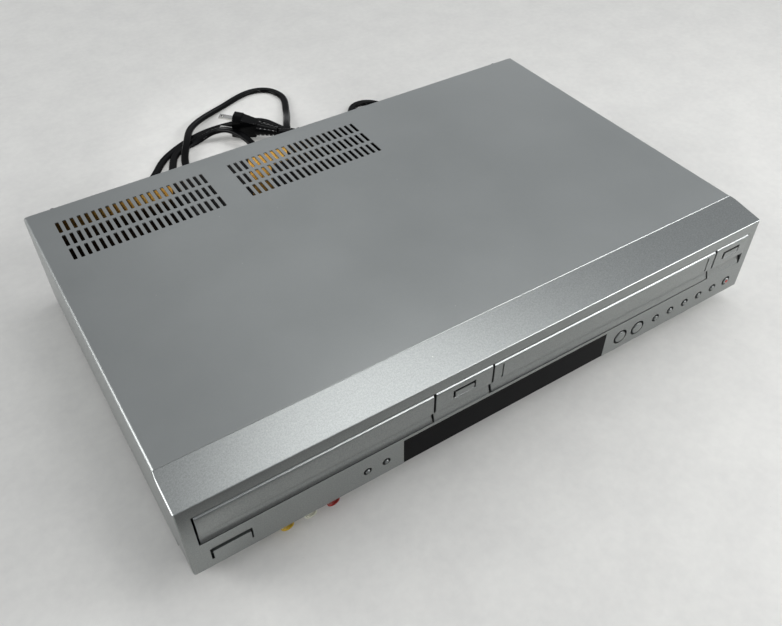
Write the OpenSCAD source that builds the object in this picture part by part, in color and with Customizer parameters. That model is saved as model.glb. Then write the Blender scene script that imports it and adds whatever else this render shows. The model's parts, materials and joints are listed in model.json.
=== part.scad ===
// Disc player and video cassette recorder in one low casing.
// Lengths are in millimetres. Inside a module, x runs from the casing's left end, y from the
// bezel's face towards the back, and z from the floor; placed() moves this to the part's frame,
// whose origin is the middle of the footprint on the floor, with the face towards -Y.

/* [Casing] */
// Overall width of the casing
body_w = 430; // [422:1:470]
// Overall height from the floor to the top of the cover
body_h = 79; // [78:1:100]
// Depth from the bezel's face to the back edge of the cover
body_d = 275; // [272:1:320]
// Thickness of the sheet steel of cover, base and rear panel
sheet = 0.8; // [0.6:0.1:1]
// Radius of the cover's bent top edges
cover_bend_r = 2.5; // [1.5:0.5:4]
// Height of the cover's lower edge above the floor
cover_low_z = 6; // [5.9:0.1:8]
// Drop of the lip folded down along the cover's back edge
cover_lip_h = 8; // [6:0.5:9]
// Height of the feet
foot_h = 5; // [4:0.5:6]
// Diameter of a foot
foot_d = 24; // [16:1:30]

/* [Cover vents] */
// Width of one slot
slot_w = 2.6; // [1.4:0.1:2.8]
// Length of one slot
slot_l = 13.1; // [8:0.1:13.4]
// Distance between neighbouring slots
slot_pitch = 5.03; // [4.6:0.01:5.2]
// Slots in a row
slot_count = 22; // [12:1:22]
// Rows in a group
slot_rows = 3; // [1:1:3]
// Distance between rows
slot_row_pitch = 16.4; // [15:0.2:18]
// Distance of the last row's middle from the cover's back edge
slot_back = 24; // [20:0.5:30]
// Left end to the first slot of the left group
vent_left_x = 18; // [14:0.5:24]
// Left end to the first slot of the right group
vent_right_x = 146.2; // [140:0.5:170]

/* [Front bezel] */
// Depth of the moulded bezel
bezel_d = 27; // [25:1:32]
// Fall of the bezel's top from the cover to the face
bezel_drop = 4.2; // [3:0.2:6]
// Wall of the bezel
bezel_wall = 2.2; // [1.8:0.1:2.4]
// Height of the face's lower edge above the floor
face_z = 15; // [14.6:0.1:16]
// Rounding of the bezel's corners
bezel_r = 2; // [1.5:0.5:5]
// Set-back of the skirt under the face
skirt_setback = 12; // [10:0.5:13]
// Height of the skirt's lower edge above the floor
skirt_z = 5; // [4:0.5:5]
// Seam between the bezel and the cover
seam = 0.3; // [0.1:0.1:0.6]

/* [Doors and panels] */
// Strip of bezel above the doors
strip_h = 9.1; // [9:0.1:11]
// Height of the band of doors and panels
band_h = 26.3; // [26:0.1:28]
// Frame left of the doors and right of the last panel
side_frame = 8; // [6:0.5:12]
// Width of the disc door's place
disc_door_w = 148; // [146:1:152]
// Share of the width left beside the doors that the panel between them takes
centre_share = 0.564; // [0.4:0.01:0.65]
// Width of the cassette flap's place
flap_w = 191; // [191:1:194]
// Gap round the doors
door_gap = 0.7; // [0.3:0.1:0.8]
// Further gap at the band's two ends
end_gap = 0.4; // [0:0.1:0.6]
// How far the doors' upper face stands proud of the bezel
door_proud = 0.8; // [0.4:0.1:1.2]
// Height of the doors' flat upper face
door_face_h = 15.8; // [14:0.2:17]
// Undercut below the upper face, down to the groove's bottom
undercut_h = 4.4; // [3:0.2:5]
// Depth of the finger groove
groove_d = 1.8; // [1:0.1:2.2]
// Chamfer along the doors' top edge
door_chamfer = 1; // [0.5:0.1:1.4]
// Depth of the doors from the bezel's face plane to their back
door_back = 3.4; // [3.2:0.1:3.6]
// Width of the upright grooves on the cassette flap
flap_groove_w = 1.2; // [0.8:0.1:1.6]
// Distance of those grooves from the flap's ends
flap_groove_in = 7.2; // [6:0.2:12]

/* [Window and buttons] */
// Left end to the display window
window_x = 135.1; // [132:0.1:138]
// Right end to the display window
window_right = 134.4; // [132:0.1:140]
// Strip of bezel between the display window and the doors
window_strip = 2.6; // [1.8:0.1:5]
// Thickness of the display window
window_t = 1.6; // [1.2:0.1:2]
// Height of the button row, as a share of the height under the doors
button_row_share = 0.443; // [0.42:0.01:0.5]
// Gap over and beside an oblong button
button_gap = 1; // [0.3:0.05:1.1]
// Running gap round a round button
round_gap = 0.9; // [0.4:0.05:1]
// How far a button is pushed
button_travel = 1; // [0.5:0.1:1]
// How far the crown of a round button stands proud
button_proud = 1; // [0.7:0.1:1.4]
// How far the rim of a round button stands proud
button_rim = 0.5; // [0.1:0.1:0.6]
// Left end to the middle of the power button
power_x = 24.3; // [22:0.1:27]
// Width of the power button
power_w = 22.8; // [18:0.2:26]
// Height of the power button
power_h = 8.4; // [6:0.2:10]
// Left end to the first channel button
channel_x = 110; // [106:0.5:114]
// Distance between the channel buttons
channel_pitch = 12.9; // [10:0.1:14]
// Diameter of a channel button
channel_d = 3.8; // [3.4:0.2:5]
// Right end to the first selector button
select_right = 119.8; // [119:0.1:122]
// Distance between the selector buttons
select_pitch = 15.8; // [15.2:0.1:17]
// Diameter of a selector button
select_d = 10; // [8:0.2:10.4]
// Right end to the first transport button
transport_right = 86.4; // [85:0.1:89]
// Distance between the transport buttons
transport_pitch = 14.2; // [13:0.1:14.4]
// Diameter of a transport button
transport_d = 4.6; // [4:0.2:6]
// Diameter of the record button
record_d = 5.8; // [5:0.2:6.6]
// Width of the small oblong buttons, as a share of the right panel
oblong_share = 0.43; // [0.3:0.01:0.5]
// Height of the small oblong buttons on the panels
oblong_h = 5; // [4:0.2:6]

/* [Sockets] */
// Outer diameter of a phono socket
jack_d = 8.3; // [8:0.1:8.6]
// Bore of a phono socket's coloured barrel
jack_bore = 6.8; // [6.4:0.1:7]
// Diameter of a phono socket's flange
jack_flange_d = 11; // [10:0.5:12]
// Left end to the first front socket
front_jack_x = 57.3; // [54:0.1:60]
// Distance between the front sockets
front_jack_pitch = 15.1; // [13:0.1:17]
// Height of the front sockets' axis above the skirt's lower edge
front_jack_h = 4.9; // [4.6:0.1:5.2]
// Distance between rear sockets in a column
rear_jack_pitch = 18; // [14:0.5:19]
// Reach of the aerial sockets behind the cover
socket_reach = 10; // [9:0.5:12]
// Diameter of an aerial socket
aerial_d = 9.5; // [9:0.1:10]

/* [Disc loader] */
// Clear side gap of the tray in its loader
tray_gap = 2; // [1.5:0.1:2.5]
// Travel of the disc tray
tray_travel = 132; // [110:1:134]
// Height of the tray's plate
tray_t = 6; // [5.4:0.2:6.4]
// Length of the tray from the door's back
tray_l = 161; // [158:0.5:164]
// Diameter of the disc recess
disc_recess_d = 121; // [120.5:0.5:122]
// Depth of the disc recess
disc_recess = 2.2; // [1.5:0.1:2.5]
// Diameter of the turntable
turntable_d = 30; // [26:1:32]
// Tilt of the traverse when it lifts the turntable, in degrees
traverse_lift = 3.8; // [2:0.1:4]
// Travel of the optical pickup
pickup_travel = 34; // [24:1:36]
// Module of the tray's rack and pinion
gear_module = 1; // [0.9:0.05:1]

/* [Cassette deck] */
// Thickness of the deck's steel chassis
chassis_t = 1.5; // [1:0.1:2]
// Height of the lowered cassette holder above the chassis
holder_rest = 3.2; // [2.4:0.2:6]
// How far the cassette holder slides in
holder_slide = 45; // [35:1:46]
// Length of the cassette holder
holder_l = 70; // [60:1:74]
// Diameter of the head drum
drum_d = 62; // [58:0.5:62]
// Tilt of the head drum, in degrees
drum_tilt = 5.5; // [3:0.5:6]
// Distance from the bezel's face to the head drum's axis
drum_y = 196; // [194:1:198]
// Diameter of a reel table
reel_d = 40; // [34:1:42]
// Distance between the reel tables
reel_pitch = 93; // [91:1:95]
// Diameter of the capstan shaft
capstan_d = 4; // [3:0.5:4]
// Diameter of the capstan's flywheel
flywheel_d = 48; // [40:1:50]
// Diameter of the pinch roller
pinch_d = 11; // [9:0.5:11]

/* [Mains cord] */
// Width of the flat two-core cord
cord_w = 7; // [5.6:0.2:7.6]
// Thickness of the flat two-core cord
cord_t = 3.8; // [3:0.1:3.9]
// Length of the strain relief behind the rear panel
relief_l = 30; // [24:1:34]

/* [Hidden] */
$fn = 48;

silver = "silver";
steel = "lightsteelblue";
black = [0.12, 0.12, 0.13];
phenolic = [0.72, 0.42, 0.16];
// Small overshoot that keeps cuts clear of the faces they pass through
cut = 1;
// Running gap between pieces that slide on each other, and between a shaft and its bore
running = 0.3;
shaft_gap = 0.1;
// Gap round a fixed piece that sits in a hole
fit = 0.2;

// Frame: the footprint's middle, with the proud buttons and the sockets inside it
front_reach = max(door_proud, button_proud);
face_y = (front_reach - body_d - socket_reach) / 2;

// Heights of the bezel and of the band of doors
face_top = body_h - bezel_drop;
band_top = face_top - strip_h;
band_low = band_top - band_h;
fold_z = band_top - door_face_h;
groove_z = fold_z - undercut_h;
lip_z = face_z + bezel_wall;
button_z = face_z + (band_low - face_z) * button_row_share;
select_x = body_w - select_right;
transport_x = body_w - transport_right;
oblong_z = fold_z + door_face_h * 0.45;
window_h = band_low - face_z - window_strip;
window_w = body_w - window_right - window_x;

// Divisions of the band, from left to right
disc_x0 = side_frame;
disc_x1 = disc_x0 + disc_door_w;
spare_w = body_w - 2 * side_frame - disc_door_w - flap_w;
flap_x0 = disc_x1 + spare_w * centre_share;
flap_x1 = flap_x0 + flap_w;
band_x1 = body_w - side_frame;
oblong_w = (band_x1 - flap_x1) * oblong_share;
panel_lip = 1.5;
disc_x = (disc_x0 + disc_x1) / 2;
deck_x = (flap_x0 + flap_x1) / 2;

// Base, boards and rear panel
base_top = foot_h + sheet;
panel_y = body_d - 2 * sheet;
board_t = 1.6;
board_z = base_top + 3.2;
board_top = board_z + board_t;
front_board_y = 10;
switch_y = 5.5;
switch_body_y = 6.3;
jack_board_gap = 2.8;
jack_board_y = panel_y - jack_board_gap - board_t;
power_x0 = 12;
power_x1 = 104;
loader_y0 = front_board_y + board_t + 1;
loader_y1 = door_back + tray_l + 20;
power_y0 = loader_y1 + 5.6;
power_y1 = jack_board_y - 1;
big_can_d = 22;
small_can_d = 12;
main_x0 = disc_x1 + 2;
main_x1 = body_w - 6;
main_y0 = 16;
main_y1 = jack_board_y - 6;
tuner_x0 = power_x1 + 6;
tuner_w = 44;
tuner_x1 = tuner_x0 + tuner_w;
right_jack_x0 = tuner_x1 + 13;
right_jack_x1 = right_jack_x0 + 33;
jack_board_h = body_h - 7;
rear_jack_z = base_top + 20;
right_jack_x2 = right_jack_x0 + 18;
rear_columns = [power_x1 - 20, right_jack_x0 + 9];
front_jack_z = skirt_z + front_jack_h;
jack_back = skirt_setback + bezel_wall;
jack_flange_t = 3;
rear_jack_reach = 10;
relief_x = 32;
relief_z = 24;
relief_hole_w = 10;
relief_hole_h = 8;
screw_d = 3;
screw_hole_d = 3.3;
tuner_h = 46;

// Disc loader, named from its middle line
loader_half = disc_door_w / 2 - 6;
loader_wall = 2.4;
tray_half = loader_half - loader_wall - tray_gap;
tray_z = band_low + 6.6;
tray_top = tray_z + tray_t;
loader_top = tray_top + 8;
rail_in = 1;
sled_way_half = 16;
sled_way_y = 18;
tray_way_half = 19;
tray_way_l = 62;
small_disc_d = 82;
finger_x = 42;
finger_y = 56;
spindle_y = door_back + 66;
traverse_y = loader_y1 - 23;
traverse_z = tray_z - 14;
loader_z = traverse_z - 8.2;
traverse_half = 30;
traverse_lug_x = traverse_half + 4;
rod_d = 3;
rod_x = 23;
rod_h = 5.5;
rod_l = 82;
motor_h = 6.4;
bridge_z = loader_top;
bridge_half = 18;
bridge_t = 1.2;
bridge_bore = 24;
axle_d = 3;
pinion_teeth = 16;
pinion_t = 3.2;
pinion_r = gear_module * pinion_teeth / 2;
rack_x = disc_x - 44;
pinion_y = loader_y0 + 11;

// Cassette deck, named from its middle line
deck_low = base_top + 9.7;
deck_top = deck_low + chassis_t;
deck_half = 104;
deck_y0 = 38;
deck_y1 = drum_y + 42;
holder_floor = band_low + 0.8;
holder_wall = 1;
holder_in = flap_w / 2 - 1;
holder_out = holder_in + holder_wall;
holder_drop = holder_floor - deck_top - holder_rest;
holder_y0 = 39;
holder_clear = band_h - 0.3;
holder_top = holder_floor + holder_clear + holder_wall;
ledge_w = 10.5;
slider_t = 2.6;
slider_in = holder_out + 0.5;
bracket_in = slider_in + slider_t + 0.4;
bracket_t = 1.2;
pin_pitch = 20;
pin_d = 4;
pin_y = holder_y0 + 25;
pin_z = holder_floor + 22;
slider_guide_z = holder_floor + 12;
reel_y = holder_y0 + holder_slide + 8;
capstan_x = deck_x + 58;
capstan_y = holder_y0 + holder_slide + holder_l - 1;
pinch_pivot_x = deck_x + 68;
pinch_pivot_y = capstan_y - 27;
pinch_reach = 22.4;
pinch_rest = 70.4;
drum_shaft_d = 6;
lower_drum_h = 15;
pole_r = 44.6;
pole_centre_in = 6.5;
pole_centre_y = drum_y - 18;
pole_start = 238.2;
pole_sweep = 95;
flap_pivot_y = 4.4;
flap_pivot_z = band_top + flap_pivot_y + door_proud;
flap_pin_r = 0.9;
flap_arm_r = 1.8;
flap_arm_in = 8;

module placed() {
    translate([-body_w / 2, face_y, 0])
        children();
}

// Extrudes a (y, z) profile along x, from x0 over length w
module along_x(x0, w) {
    translate([x0, 0, 0])
        rotate([90, 0, 90])
            linear_extrude(w)
                children();
}

// Extrudes an (x, z) profile along y, from y0 over length d
module along_y(y0, d) {
    translate([0, y0 + d, 0])
        rotate([90, 0, 0])
            linear_extrude(d)
                children();
}

// A block between two corners
module block(low, high) {
    translate(low)
        cube(high - low);
}

// A round bar along y
module bar_y(x, y0, y1, z, d) {
    translate([x, y0, z])
        rotate([-90, 0, 0])
            cylinder(d = d, h = y1 - y0);
}

// A round bar along x
module bar_x(x0, x1, y, z, d) {
    translate([x0, y, z])
        rotate([0, 90, 0])
            cylinder(d = d, h = x1 - x0);
}

// A round bar along z
module post(x, y, z0, z1, d) {
    translate([x, y, z0])
        cylinder(d = d, h = z1 - z0);
}

// A flat outline with four round corners, from its lower left corner
module round_rect(w, h, r) {
    translate([r, 0])
        square([w - 2 * r, h]);
    translate([0, r])
        square([w, h - 2 * r]);
    for (x = [r, w - r], y = [r, h - r])
        translate([x, y])
            circle(r);
}

// ---------------------------------------------------------------- casing

// The cover's outline across the casing, grown or shrunk by the sheet
module cover_outline(inset) {
    translate([inset, 0])
        round_rect(body_w - 2 * inset, body_h - inset, cover_bend_r - inset);
}

module vent_group(x0) {
    for (row = [0 : slot_rows - 1], i = [0 : slot_count - 1])
        translate([x0 + i * slot_pitch - slot_w / 2,
                body_d - slot_back - row * slot_row_pitch - slot_l / 2, body_h - 2 * sheet])
            cube([slot_w, slot_l, 3 * sheet]);
}

module top_cover() {
    front = bezel_d + seam;
    color(silver) placed() difference() {
        union() {
            difference() {
                along_y(front, body_d - front) cover_outline(0);
                along_y(front - cut, body_d - front + 2 * cut) cover_outline(sheet);
            }
            block([sheet, body_d - sheet, body_h - cover_lip_h],
                [body_w - sheet, body_d, body_h - sheet / 2]);
        }
        block([-cut, 0, -cut], [body_w + cut, body_d + cut, cover_low_z]);
        vent_group(vent_left_x);
        vent_group(vent_right_x);
        for (x = cover_screw_x())
            bar_y(x, body_d - 2 * sheet, body_d + cut, cover_screw_z(), screw_hole_d);
    }
}

function cover_screw_x() = [20, body_w / 2, body_w - 20];
function cover_screw_z() = body_h - cover_lip_h / 2;

module cover_screws() {
    color(black) placed() for (x = cover_screw_x()) {
        bar_y(x, panel_y - 4, body_d, cover_screw_z(), screw_d);
        difference() {
            bar_y(x, body_d, body_d + 1.8, cover_screw_z(), 6.4);
            for (turn = [0, 90])
                translate([x, body_d + 1.8, cover_screw_z()])
                    rotate([0, turn, 0])
                        cube([3.6, 1.6, 0.9], center = true);
        }
    }
}

module base_pan() {
    side_y0 = bezel_d + seam;
    color(steel) placed() difference() {
        union() {
            block([bezel_wall, jack_back + jack_flange_t + running, foot_h],
                [body_w - bezel_wall, panel_y, base_top]);
            block([sheet, side_y0, foot_h], [body_w - sheet, panel_y, base_top]);
            for (x = [sheet, body_w - 2 * sheet])
                block([x, side_y0, foot_h], [x + sheet, panel_y, foot_h + 9]);
            base_standoffs();
        }
        // Air slots under the power board and under the deck
        for (i = [0 : 9], group = [[power_x0 + 10, power_y0 + 2], [deck_x - 40, body_d / 2]])
            block([group[0] + i * 8, group[1], 0], [group[0] + i * 8 + 3, group[1] + 32, base_top + 0.1]);
        for (foot = foot_places())
            post(foot[0], foot[1], 0, base_top + cut, 4.2);
    }
}

// Riveted standoffs that carry the boards, the loader and the deck
module base_standoffs() {
    for (x = [power_x0 + 5, power_x1 - 5], y = [power_y0 + 5, power_y1 - 5])
        post(x, y, foot_h, board_z, 6);
    for (x = [main_x0 + 14, main_x1 - 5], y = [main_y0 + 5, main_y1 - 5])
        post(x, y, foot_h, board_z, 6);
    for (p = loader_legs())
        post(p[0], p[1], foot_h, loader_z, 8);
    for (p = deck_legs())
        post(p[0], p[1], foot_h, deck_low, 7);
}

function foot_places() = [for (x = [40, body_w - 40], y = [52, body_d - 34]) [x, y]];
function loader_legs() = [for (x = [disc_x - loader_half + 6, disc_x + loader_half - 6],
    y = [loader_y0 + 6, loader_y1 - 8]) [x, y]];
function deck_legs() = [for (x = [deck_x - deck_half + 6, deck_x + deck_half - 6],
    y = [deck_y0 + 6, deck_y1 - 8]) [x, y]];

module feet() {
    color(black) placed() for (foot = foot_places())
        translate([foot[0], foot[1], 0]) {
            rotate_extrude()
                polygon([[0, 0], [foot_d / 2 - 1, 0], [foot_d / 2, 1], [foot_d / 2 - 1.2, foot_h], [0, foot_h]]);
            cylinder(d = 4, h = base_top + 1.5);
            translate([0, 0, base_top])
                cylinder(d = 6.4, h = 1.5);
        }
}

module rear_panel() {
    color(steel) placed() difference() {
        along_y(panel_y, sheet)
            intersection() {
                cover_outline(sheet);
                translate([0, foot_h])
                    square([body_w, body_h]);
            }
        for (x = rear_columns, row = [0 : 2])
            bar_y(x, panel_y - cut, body_d, rear_jack_z + row * rear_jack_pitch, jack_d + 2 * fit);
        for (z = aerial_z())
            bar_y(aerial_x(), panel_y - cut, body_d, z, aerial_d + 0.6);
        along_y(panel_y - cut, sheet + 2 * cut)
            translate([relief_x, relief_z])
                square([relief_hole_w + 2 * fit, relief_hole_h + 2 * fit], center = true);
        for (x = cover_screw_x())
            bar_y(x, panel_y - cut, body_d, cover_screw_z(), screw_hole_d);
        // Air slots beside the mains entry
        for (i = [0 : 5])
            block([relief_x + 16 + i * 5, panel_y - cut, base_top + 8],
                [relief_x + 18 + i * 5, body_d, base_top + 30]);
    }
}

// The bezel's side view: raked top, upright face and set-back skirt, shrunk by a wall
module bezel_profile(wall) {
    polygon([
        [wall, face_z + wall],
        [skirt_setback + wall, face_z + wall],
        [skirt_setback + wall, wall > 0 ? -cut : skirt_z],
        [bezel_d + (wall > 0 ? cut : 0), wall > 0 ? -cut : skirt_z],
        [bezel_d + (wall > 0 ? cut : 0), body_h - wall],
        [wall, face_top - wall]
    ]);
}

module front_bezel() {
    color(silver) placed() difference() {
        union() {
            difference() {
                intersection() {
                    along_x(0, body_w) bezel_profile(0);
                    union() {
                        along_y(-cut, bezel_d + 2 * cut)
                            translate([0, face_z])
                                round_rect(body_w, body_h - face_z, bezel_r);
                        block([bezel_r, skirt_setback, 0], [body_w - bezel_r, bezel_d + cut, face_z + 2 * bezel_r]);
                    }
                    // Plan view with softened front corners
                    translate([0, 0, -cut])
                        linear_extrude(body_h + 2 * cut)
                            round_rect(body_w, 2 * bezel_d, 1.2);
                }
                along_x(bezel_wall, body_w - 2 * bezel_wall) bezel_profile(bezel_wall);
            }
            flap_ears();
            window_seat();
        }
        // One long opening takes the doors and the panels between them
        block([disc_x0 - end_gap, -cut, band_low], [band_x1 + end_gap, bezel_wall + cut, band_top]);
        window_cut();
        button_cuts();
        for (i = [0 : 2])
            bar_y(front_jack_x + i * front_jack_pitch, 0, bezel_d, front_jack_z, jack_d + 2 * fit);
    }
}

// Ears under the bezel's top that carry the flap's hinge pins
module flap_ears() {
    for (x = [flap_x0 + flap_arm_in - 2.4, flap_x1 - flap_arm_in + 0.4])
        difference() {
            along_x(x, 2)
                polygon([
                    [bezel_wall - 0.1, flap_pivot_z - 2.6],
                    [flap_pivot_y + 2.6, flap_pivot_z - 2.6],
                    [flap_pivot_y + 2.6, face_top - bezel_wall + 0.5],
                    [bezel_wall - 0.1, face_top - bezel_wall]
                ]);
            bar_x(x - cut, x + 2 + cut, flap_pivot_y, flap_pivot_z, 2 * (flap_pin_r + shaft_gap));
        }
}

// A thin wall behind the window, round the display tube
module window_seat() {
    block([window_x - 2, bezel_wall / 2, face_z], [window_x + window_w + 2, bezel_wall + 1, face_z + window_h + 1]);
}

module window_cut() {
    block([window_x, -cut, face_z - cut], [window_x + window_w, window_t, face_z + window_h]);
    block([window_x + 16, -cut, face_z + 4], [window_x + window_w - 16, bezel_wall + 2, face_z + window_h - 3]);
}

module button_cuts() {
    gap = 2 * round_gap;
    depth = bezel_wall + cut;
    block([power_x - power_w / 2 - button_gap, -cut, button_z - power_h / 2 - running],
        [power_x + power_w / 2 + button_gap, depth, button_z + power_h / 2 + button_gap]);
    for (i = [0, 1]) {
        bar_y(channel_x + i * channel_pitch, -cut, depth, button_z, channel_d + gap);
        bar_y(select_x + i * select_pitch, -cut, depth, button_z, select_d + gap);
    }
    for (i = [0 : 4])
        bar_y(transport_x + i * transport_pitch, -cut, depth, button_z, transport_d + gap);
    bar_y(transport_x + 5 * transport_pitch, -cut, depth, button_z, record_d + gap);
}

// Side view of the doors and panels: chamfered top, upright face, undercut and sloping lower face
module band_profile(low, high) {
    polygon([
        [door_chamfer - door_proud, high],
        [-door_proud, high - door_chamfer],
        [-door_proud, fold_z],
        [groove_d, groove_z],
        [0, low],
        [door_back, low],
        [door_back, high]
    ]);
}

module button_panels() {
    color(silver) placed() {
        button_panel(disc_x1, flap_x0);
        button_panel(flap_x1, band_x1);
    }
}

// A panel between the doors, held by flanges behind the bezel
module button_panel(x0, x1) {
    middle = (x0 + x1) / 2;
    half_w = oblong_w / 2 + button_gap;
    difference() {
        union() {
            along_x(x0 + door_gap, x1 - x0 - 2 * door_gap)
                band_profile(band_low, band_top);
            block([x0 + 1, bezel_wall, band_low - panel_lip], [x1 - 1, door_back, band_top + panel_lip]);
        }
        block([middle - half_w, -2 * cut, oblong_z - oblong_h / 2 - running],
            [middle + half_w, door_back + cut, oblong_z + oblong_h / 2 + button_gap]);
    }
}

module display_window() {
    color(black) placed()
        block([window_x, 0, face_z], [window_x + window_w, window_t, face_z + window_h]);
}

// ---------------------------------------------------------------- doors

module disc_door() {
    color(silver) placed()
        along_x(disc_x0 + door_gap, disc_door_w - 2 * door_gap)
            band_profile(band_low + door_gap, band_top - door_gap);
}

module cassette_flap() {
    x0 = flap_x0 + door_gap;
    x1 = flap_x1 - door_gap;
    color(silver) placed() difference() {
        union() {
            along_x(x0, x1 - x0)
                band_profile(band_low + door_gap, band_top - door_gap);
            for (x = [flap_x0 + flap_arm_in, flap_x1 - flap_arm_in - 2]) {
                block([x, flap_pivot_y - flap_arm_r, band_top - 8],
                    [x + 2, flap_pivot_y + flap_arm_r, flap_pivot_z]);
                bar_x(x, x + 2, flap_pivot_y, flap_pivot_z, 2 * flap_arm_r);
            }
            bar_x(flap_x0 + flap_arm_in - 2.6, flap_x0 + flap_arm_in + 1, flap_pivot_y, flap_pivot_z, 2 * flap_pin_r);
            bar_x(flap_x1 - flap_arm_in - 1, flap_x1 - flap_arm_in + 2.6, flap_pivot_y, flap_pivot_z, 2 * flap_pin_r);
        }
        // Upright grooves near the ends of the upper face
        for (x = [flap_x0 + flap_groove_in, flap_x1 - flap_groove_in])
            block([x - flap_groove_w / 2, -door_proud - cut, fold_z + 0.8],
                [x + flap_groove_w / 2, -door_proud + 0.7, band_top - 3]);
    }
}

// ---------------------------------------------------------------- buttons

// A round button: domed cap, flange behind the wall and stem towards its switch
module round_button(x, z, d) {
    rise = button_proud - button_rim;
    crown = (d * d / 4 + rise * rise) / (2 * rise);
    placed() translate([x, 0, z]) {
        intersection() {
            translate([0, crown - button_proud, 0])
                sphere(crown);
            bar_y(0, -button_proud - cut, bezel_wall, 0, d);
        }
        bar_y(0, button_rim, bezel_wall + running, 0, d);
        bar_y(0, bezel_wall + running, bezel_wall + running + 0.8, 0, d + 2 * round_gap + 1);
        bar_y(0, bezel_wall, switch_y - button_travel - 0.1, 0, 2.4);
    }
}

// An oblong button set in a wall that ends at wall_y
module oblong_button(x, z, w, h, front_y, wall_y) {
    lip = button_gap + 0.6;
    placed() {
        along_y(front_y, wall_y + running - front_y)
            translate([x - w / 2, z - h / 2])
                round_rect(w, h, 0.6);
        along_y(wall_y + running, 0.5)
            translate([x, z])
                square([w + 2 * lip, h + 2 * lip], center = true);
        bar_y(x, wall_y, switch_y - button_travel - 0.1, z, 2.4);
    }
}

module power_button() {
    color(silver) oblong_button(power_x, button_z, power_w, power_h, -button_proud, bezel_wall);
}

module open_close_button() {
    color(silver) oblong_button((disc_x1 + flap_x0) / 2, oblong_z, oblong_w, oblong_h, -front_reach, door_back);
}

module eject_button() {
    color(silver) oblong_button((flap_x1 + band_x1) / 2, oblong_z, oblong_w, oblong_h, -front_reach, door_back);
}

module channel_down_button() {
    color(silver) round_button(channel_x, button_z, channel_d);
}

module channel_up_button() {
    color(silver) round_button(channel_x + channel_pitch, button_z, channel_d);
}

module disc_select_button() {
    color(silver) round_button(select_x, button_z, select_d);
}

module tape_select_button() {
    color(silver) round_button(select_x + select_pitch, button_z, select_d);
}

module transport_button(i) {
    color(silver) round_button(transport_x + i * transport_pitch, button_z, transport_d);
}

module record_button() {
    color(silver) round_button(transport_x + 5 * transport_pitch, button_z, record_d);
}

// ---------------------------------------------------------------- boards

// A touch switch on the front board
module touch_switch(x, z) {
    block([x - 3, switch_body_y, z - 3], [x + 3, front_board_y, z + 3]);
    bar_y(x, switch_y, switch_body_y, z, 3.2);
}

module front_board() {
    low = lip_z;
    high = band_low - 2.4;
    tab_top = oblong_z + 5;
    color("darkgoldenrod") placed() {
        block([10, front_board_y, low], [body_w - 10, front_board_y + board_t, high]);
        block([disc_x1 + 3, front_board_y, low], [flap_x0 - 3, front_board_y + board_t, tab_top]);
        block([flap_x1 + 3, front_board_y, low], [body_w - 10, front_board_y + board_t, tab_top]);
        for (x = [power_x, channel_x, channel_x + channel_pitch, select_x, select_x + select_pitch])
            touch_switch(x, button_z);
        for (i = [0 : 5])
            touch_switch(transport_x + i * transport_pitch, button_z);
        touch_switch((disc_x1 + flap_x0) / 2, oblong_z);
        touch_switch((flap_x1 + band_x1) / 2, oblong_z);
    }
}

module display_tube() {
    middle = window_x + window_w / 2;
    color("darkslategray") placed() {
        block([middle - 52, bezel_wall + 1.6, face_z + 5], [middle + 52, front_board_y - 2, face_z + window_h - 3.4]);
        for (i = [-12 : 12])
            block([middle + i * 4 - 0.4, front_board_y - 2, face_z + 7], [middle + i * 4 + 0.4, front_board_y, face_z + 8]);
    }
}

module main_board() {
    color("seagreen") placed() difference() {
        union() {
            block([main_x0, main_y0, board_z], [main_x1, main_y1, board_top]);
            block([power_x1 + 2, power_y0 + 5, board_z], [main_x0 + 1, main_y1, board_top]);
        }
        for (p = concat(deck_legs(), loader_legs()))
            post(p[0], p[1], 0, board_top + cut, 9);
    }
    // Chips under the deck
    color(black) placed()
        for (chip = [[deck_x - 80, 70, 24], [deck_x - 20, 60, 18], [deck_x + 84, 200, 14], [main_x0 + 12, 110, 20]])
            block([chip[0], chip[1], board_top], [chip[0] + chip[2], chip[1] + chip[2], board_top + 0.9]);
}

module power_board() {
    color(phenolic) placed() {
        block([power_x0, power_y0, board_z], [power_x1, power_y1, board_top]);
        // Mains filter, fuse clips and diodes
        block([power_x0 + 4, power_y1 - 26, board_top], [power_x0 + 16, power_y1 - 8, board_top + 14]);
        for (i = [0 : 3])
            bar_y(power_x0 + 24 + i * 5, power_y1 - 18, power_y1 - 12, board_top + 1.5, 3);
    }
}

module transformer() {
    x = power_x0 + 20;
    y = power_y0 + 12;
    core_h = 30;
    color("darkkhaki") placed() {
        difference() {
            block([x, y, board_top], [x + 34, y + 12, board_top + core_h]);
            for (side = [4, 21])
                block([x + side, y - cut, board_top + 5], [x + side + 9, y + 12 + cut, board_top + core_h - 5]);
        }
        difference() {
            along_y(y - 5, 22)
                translate([x + 4.5, board_top + 5.5])
                    round_rect(25, core_h - 11, 3);
            along_y(y - 6, 24)
                translate([x + 13, board_top + 4])
                    square([8, core_h - 8]);
            block([x - cut, y, board_top + core_h - 5], [x + 35, y + 12, board_top + core_h]);
        }
    }
}

module capacitors() {
    color(black) placed() {
        capacitor(power_x1 - 16, power_y0 + 20, big_can_d, 1.6 * big_can_d);
        capacitor(power_x1 - 14, power_y0 + 42, small_can_d, 2 * small_can_d);
        capacitor(power_x1 - 30, power_y0 + 44, small_can_d - 2, 2 * small_can_d - 4);
    }
}

// A can with its score ring and sleeve
module capacitor(x, y, d, h) {
    translate([x, y, board_top])
        rotate_extrude()
            polygon([[0, 0], [d / 2, 0], [d / 2, 2], [d / 2 - 0.5, 2.6], [d / 2, 3.2],
                [d / 2, h - 0.6], [d / 2 - 0.8, h], [d / 2 - 1.6, h - 0.3], [0, h - 0.3]]);
}

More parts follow.
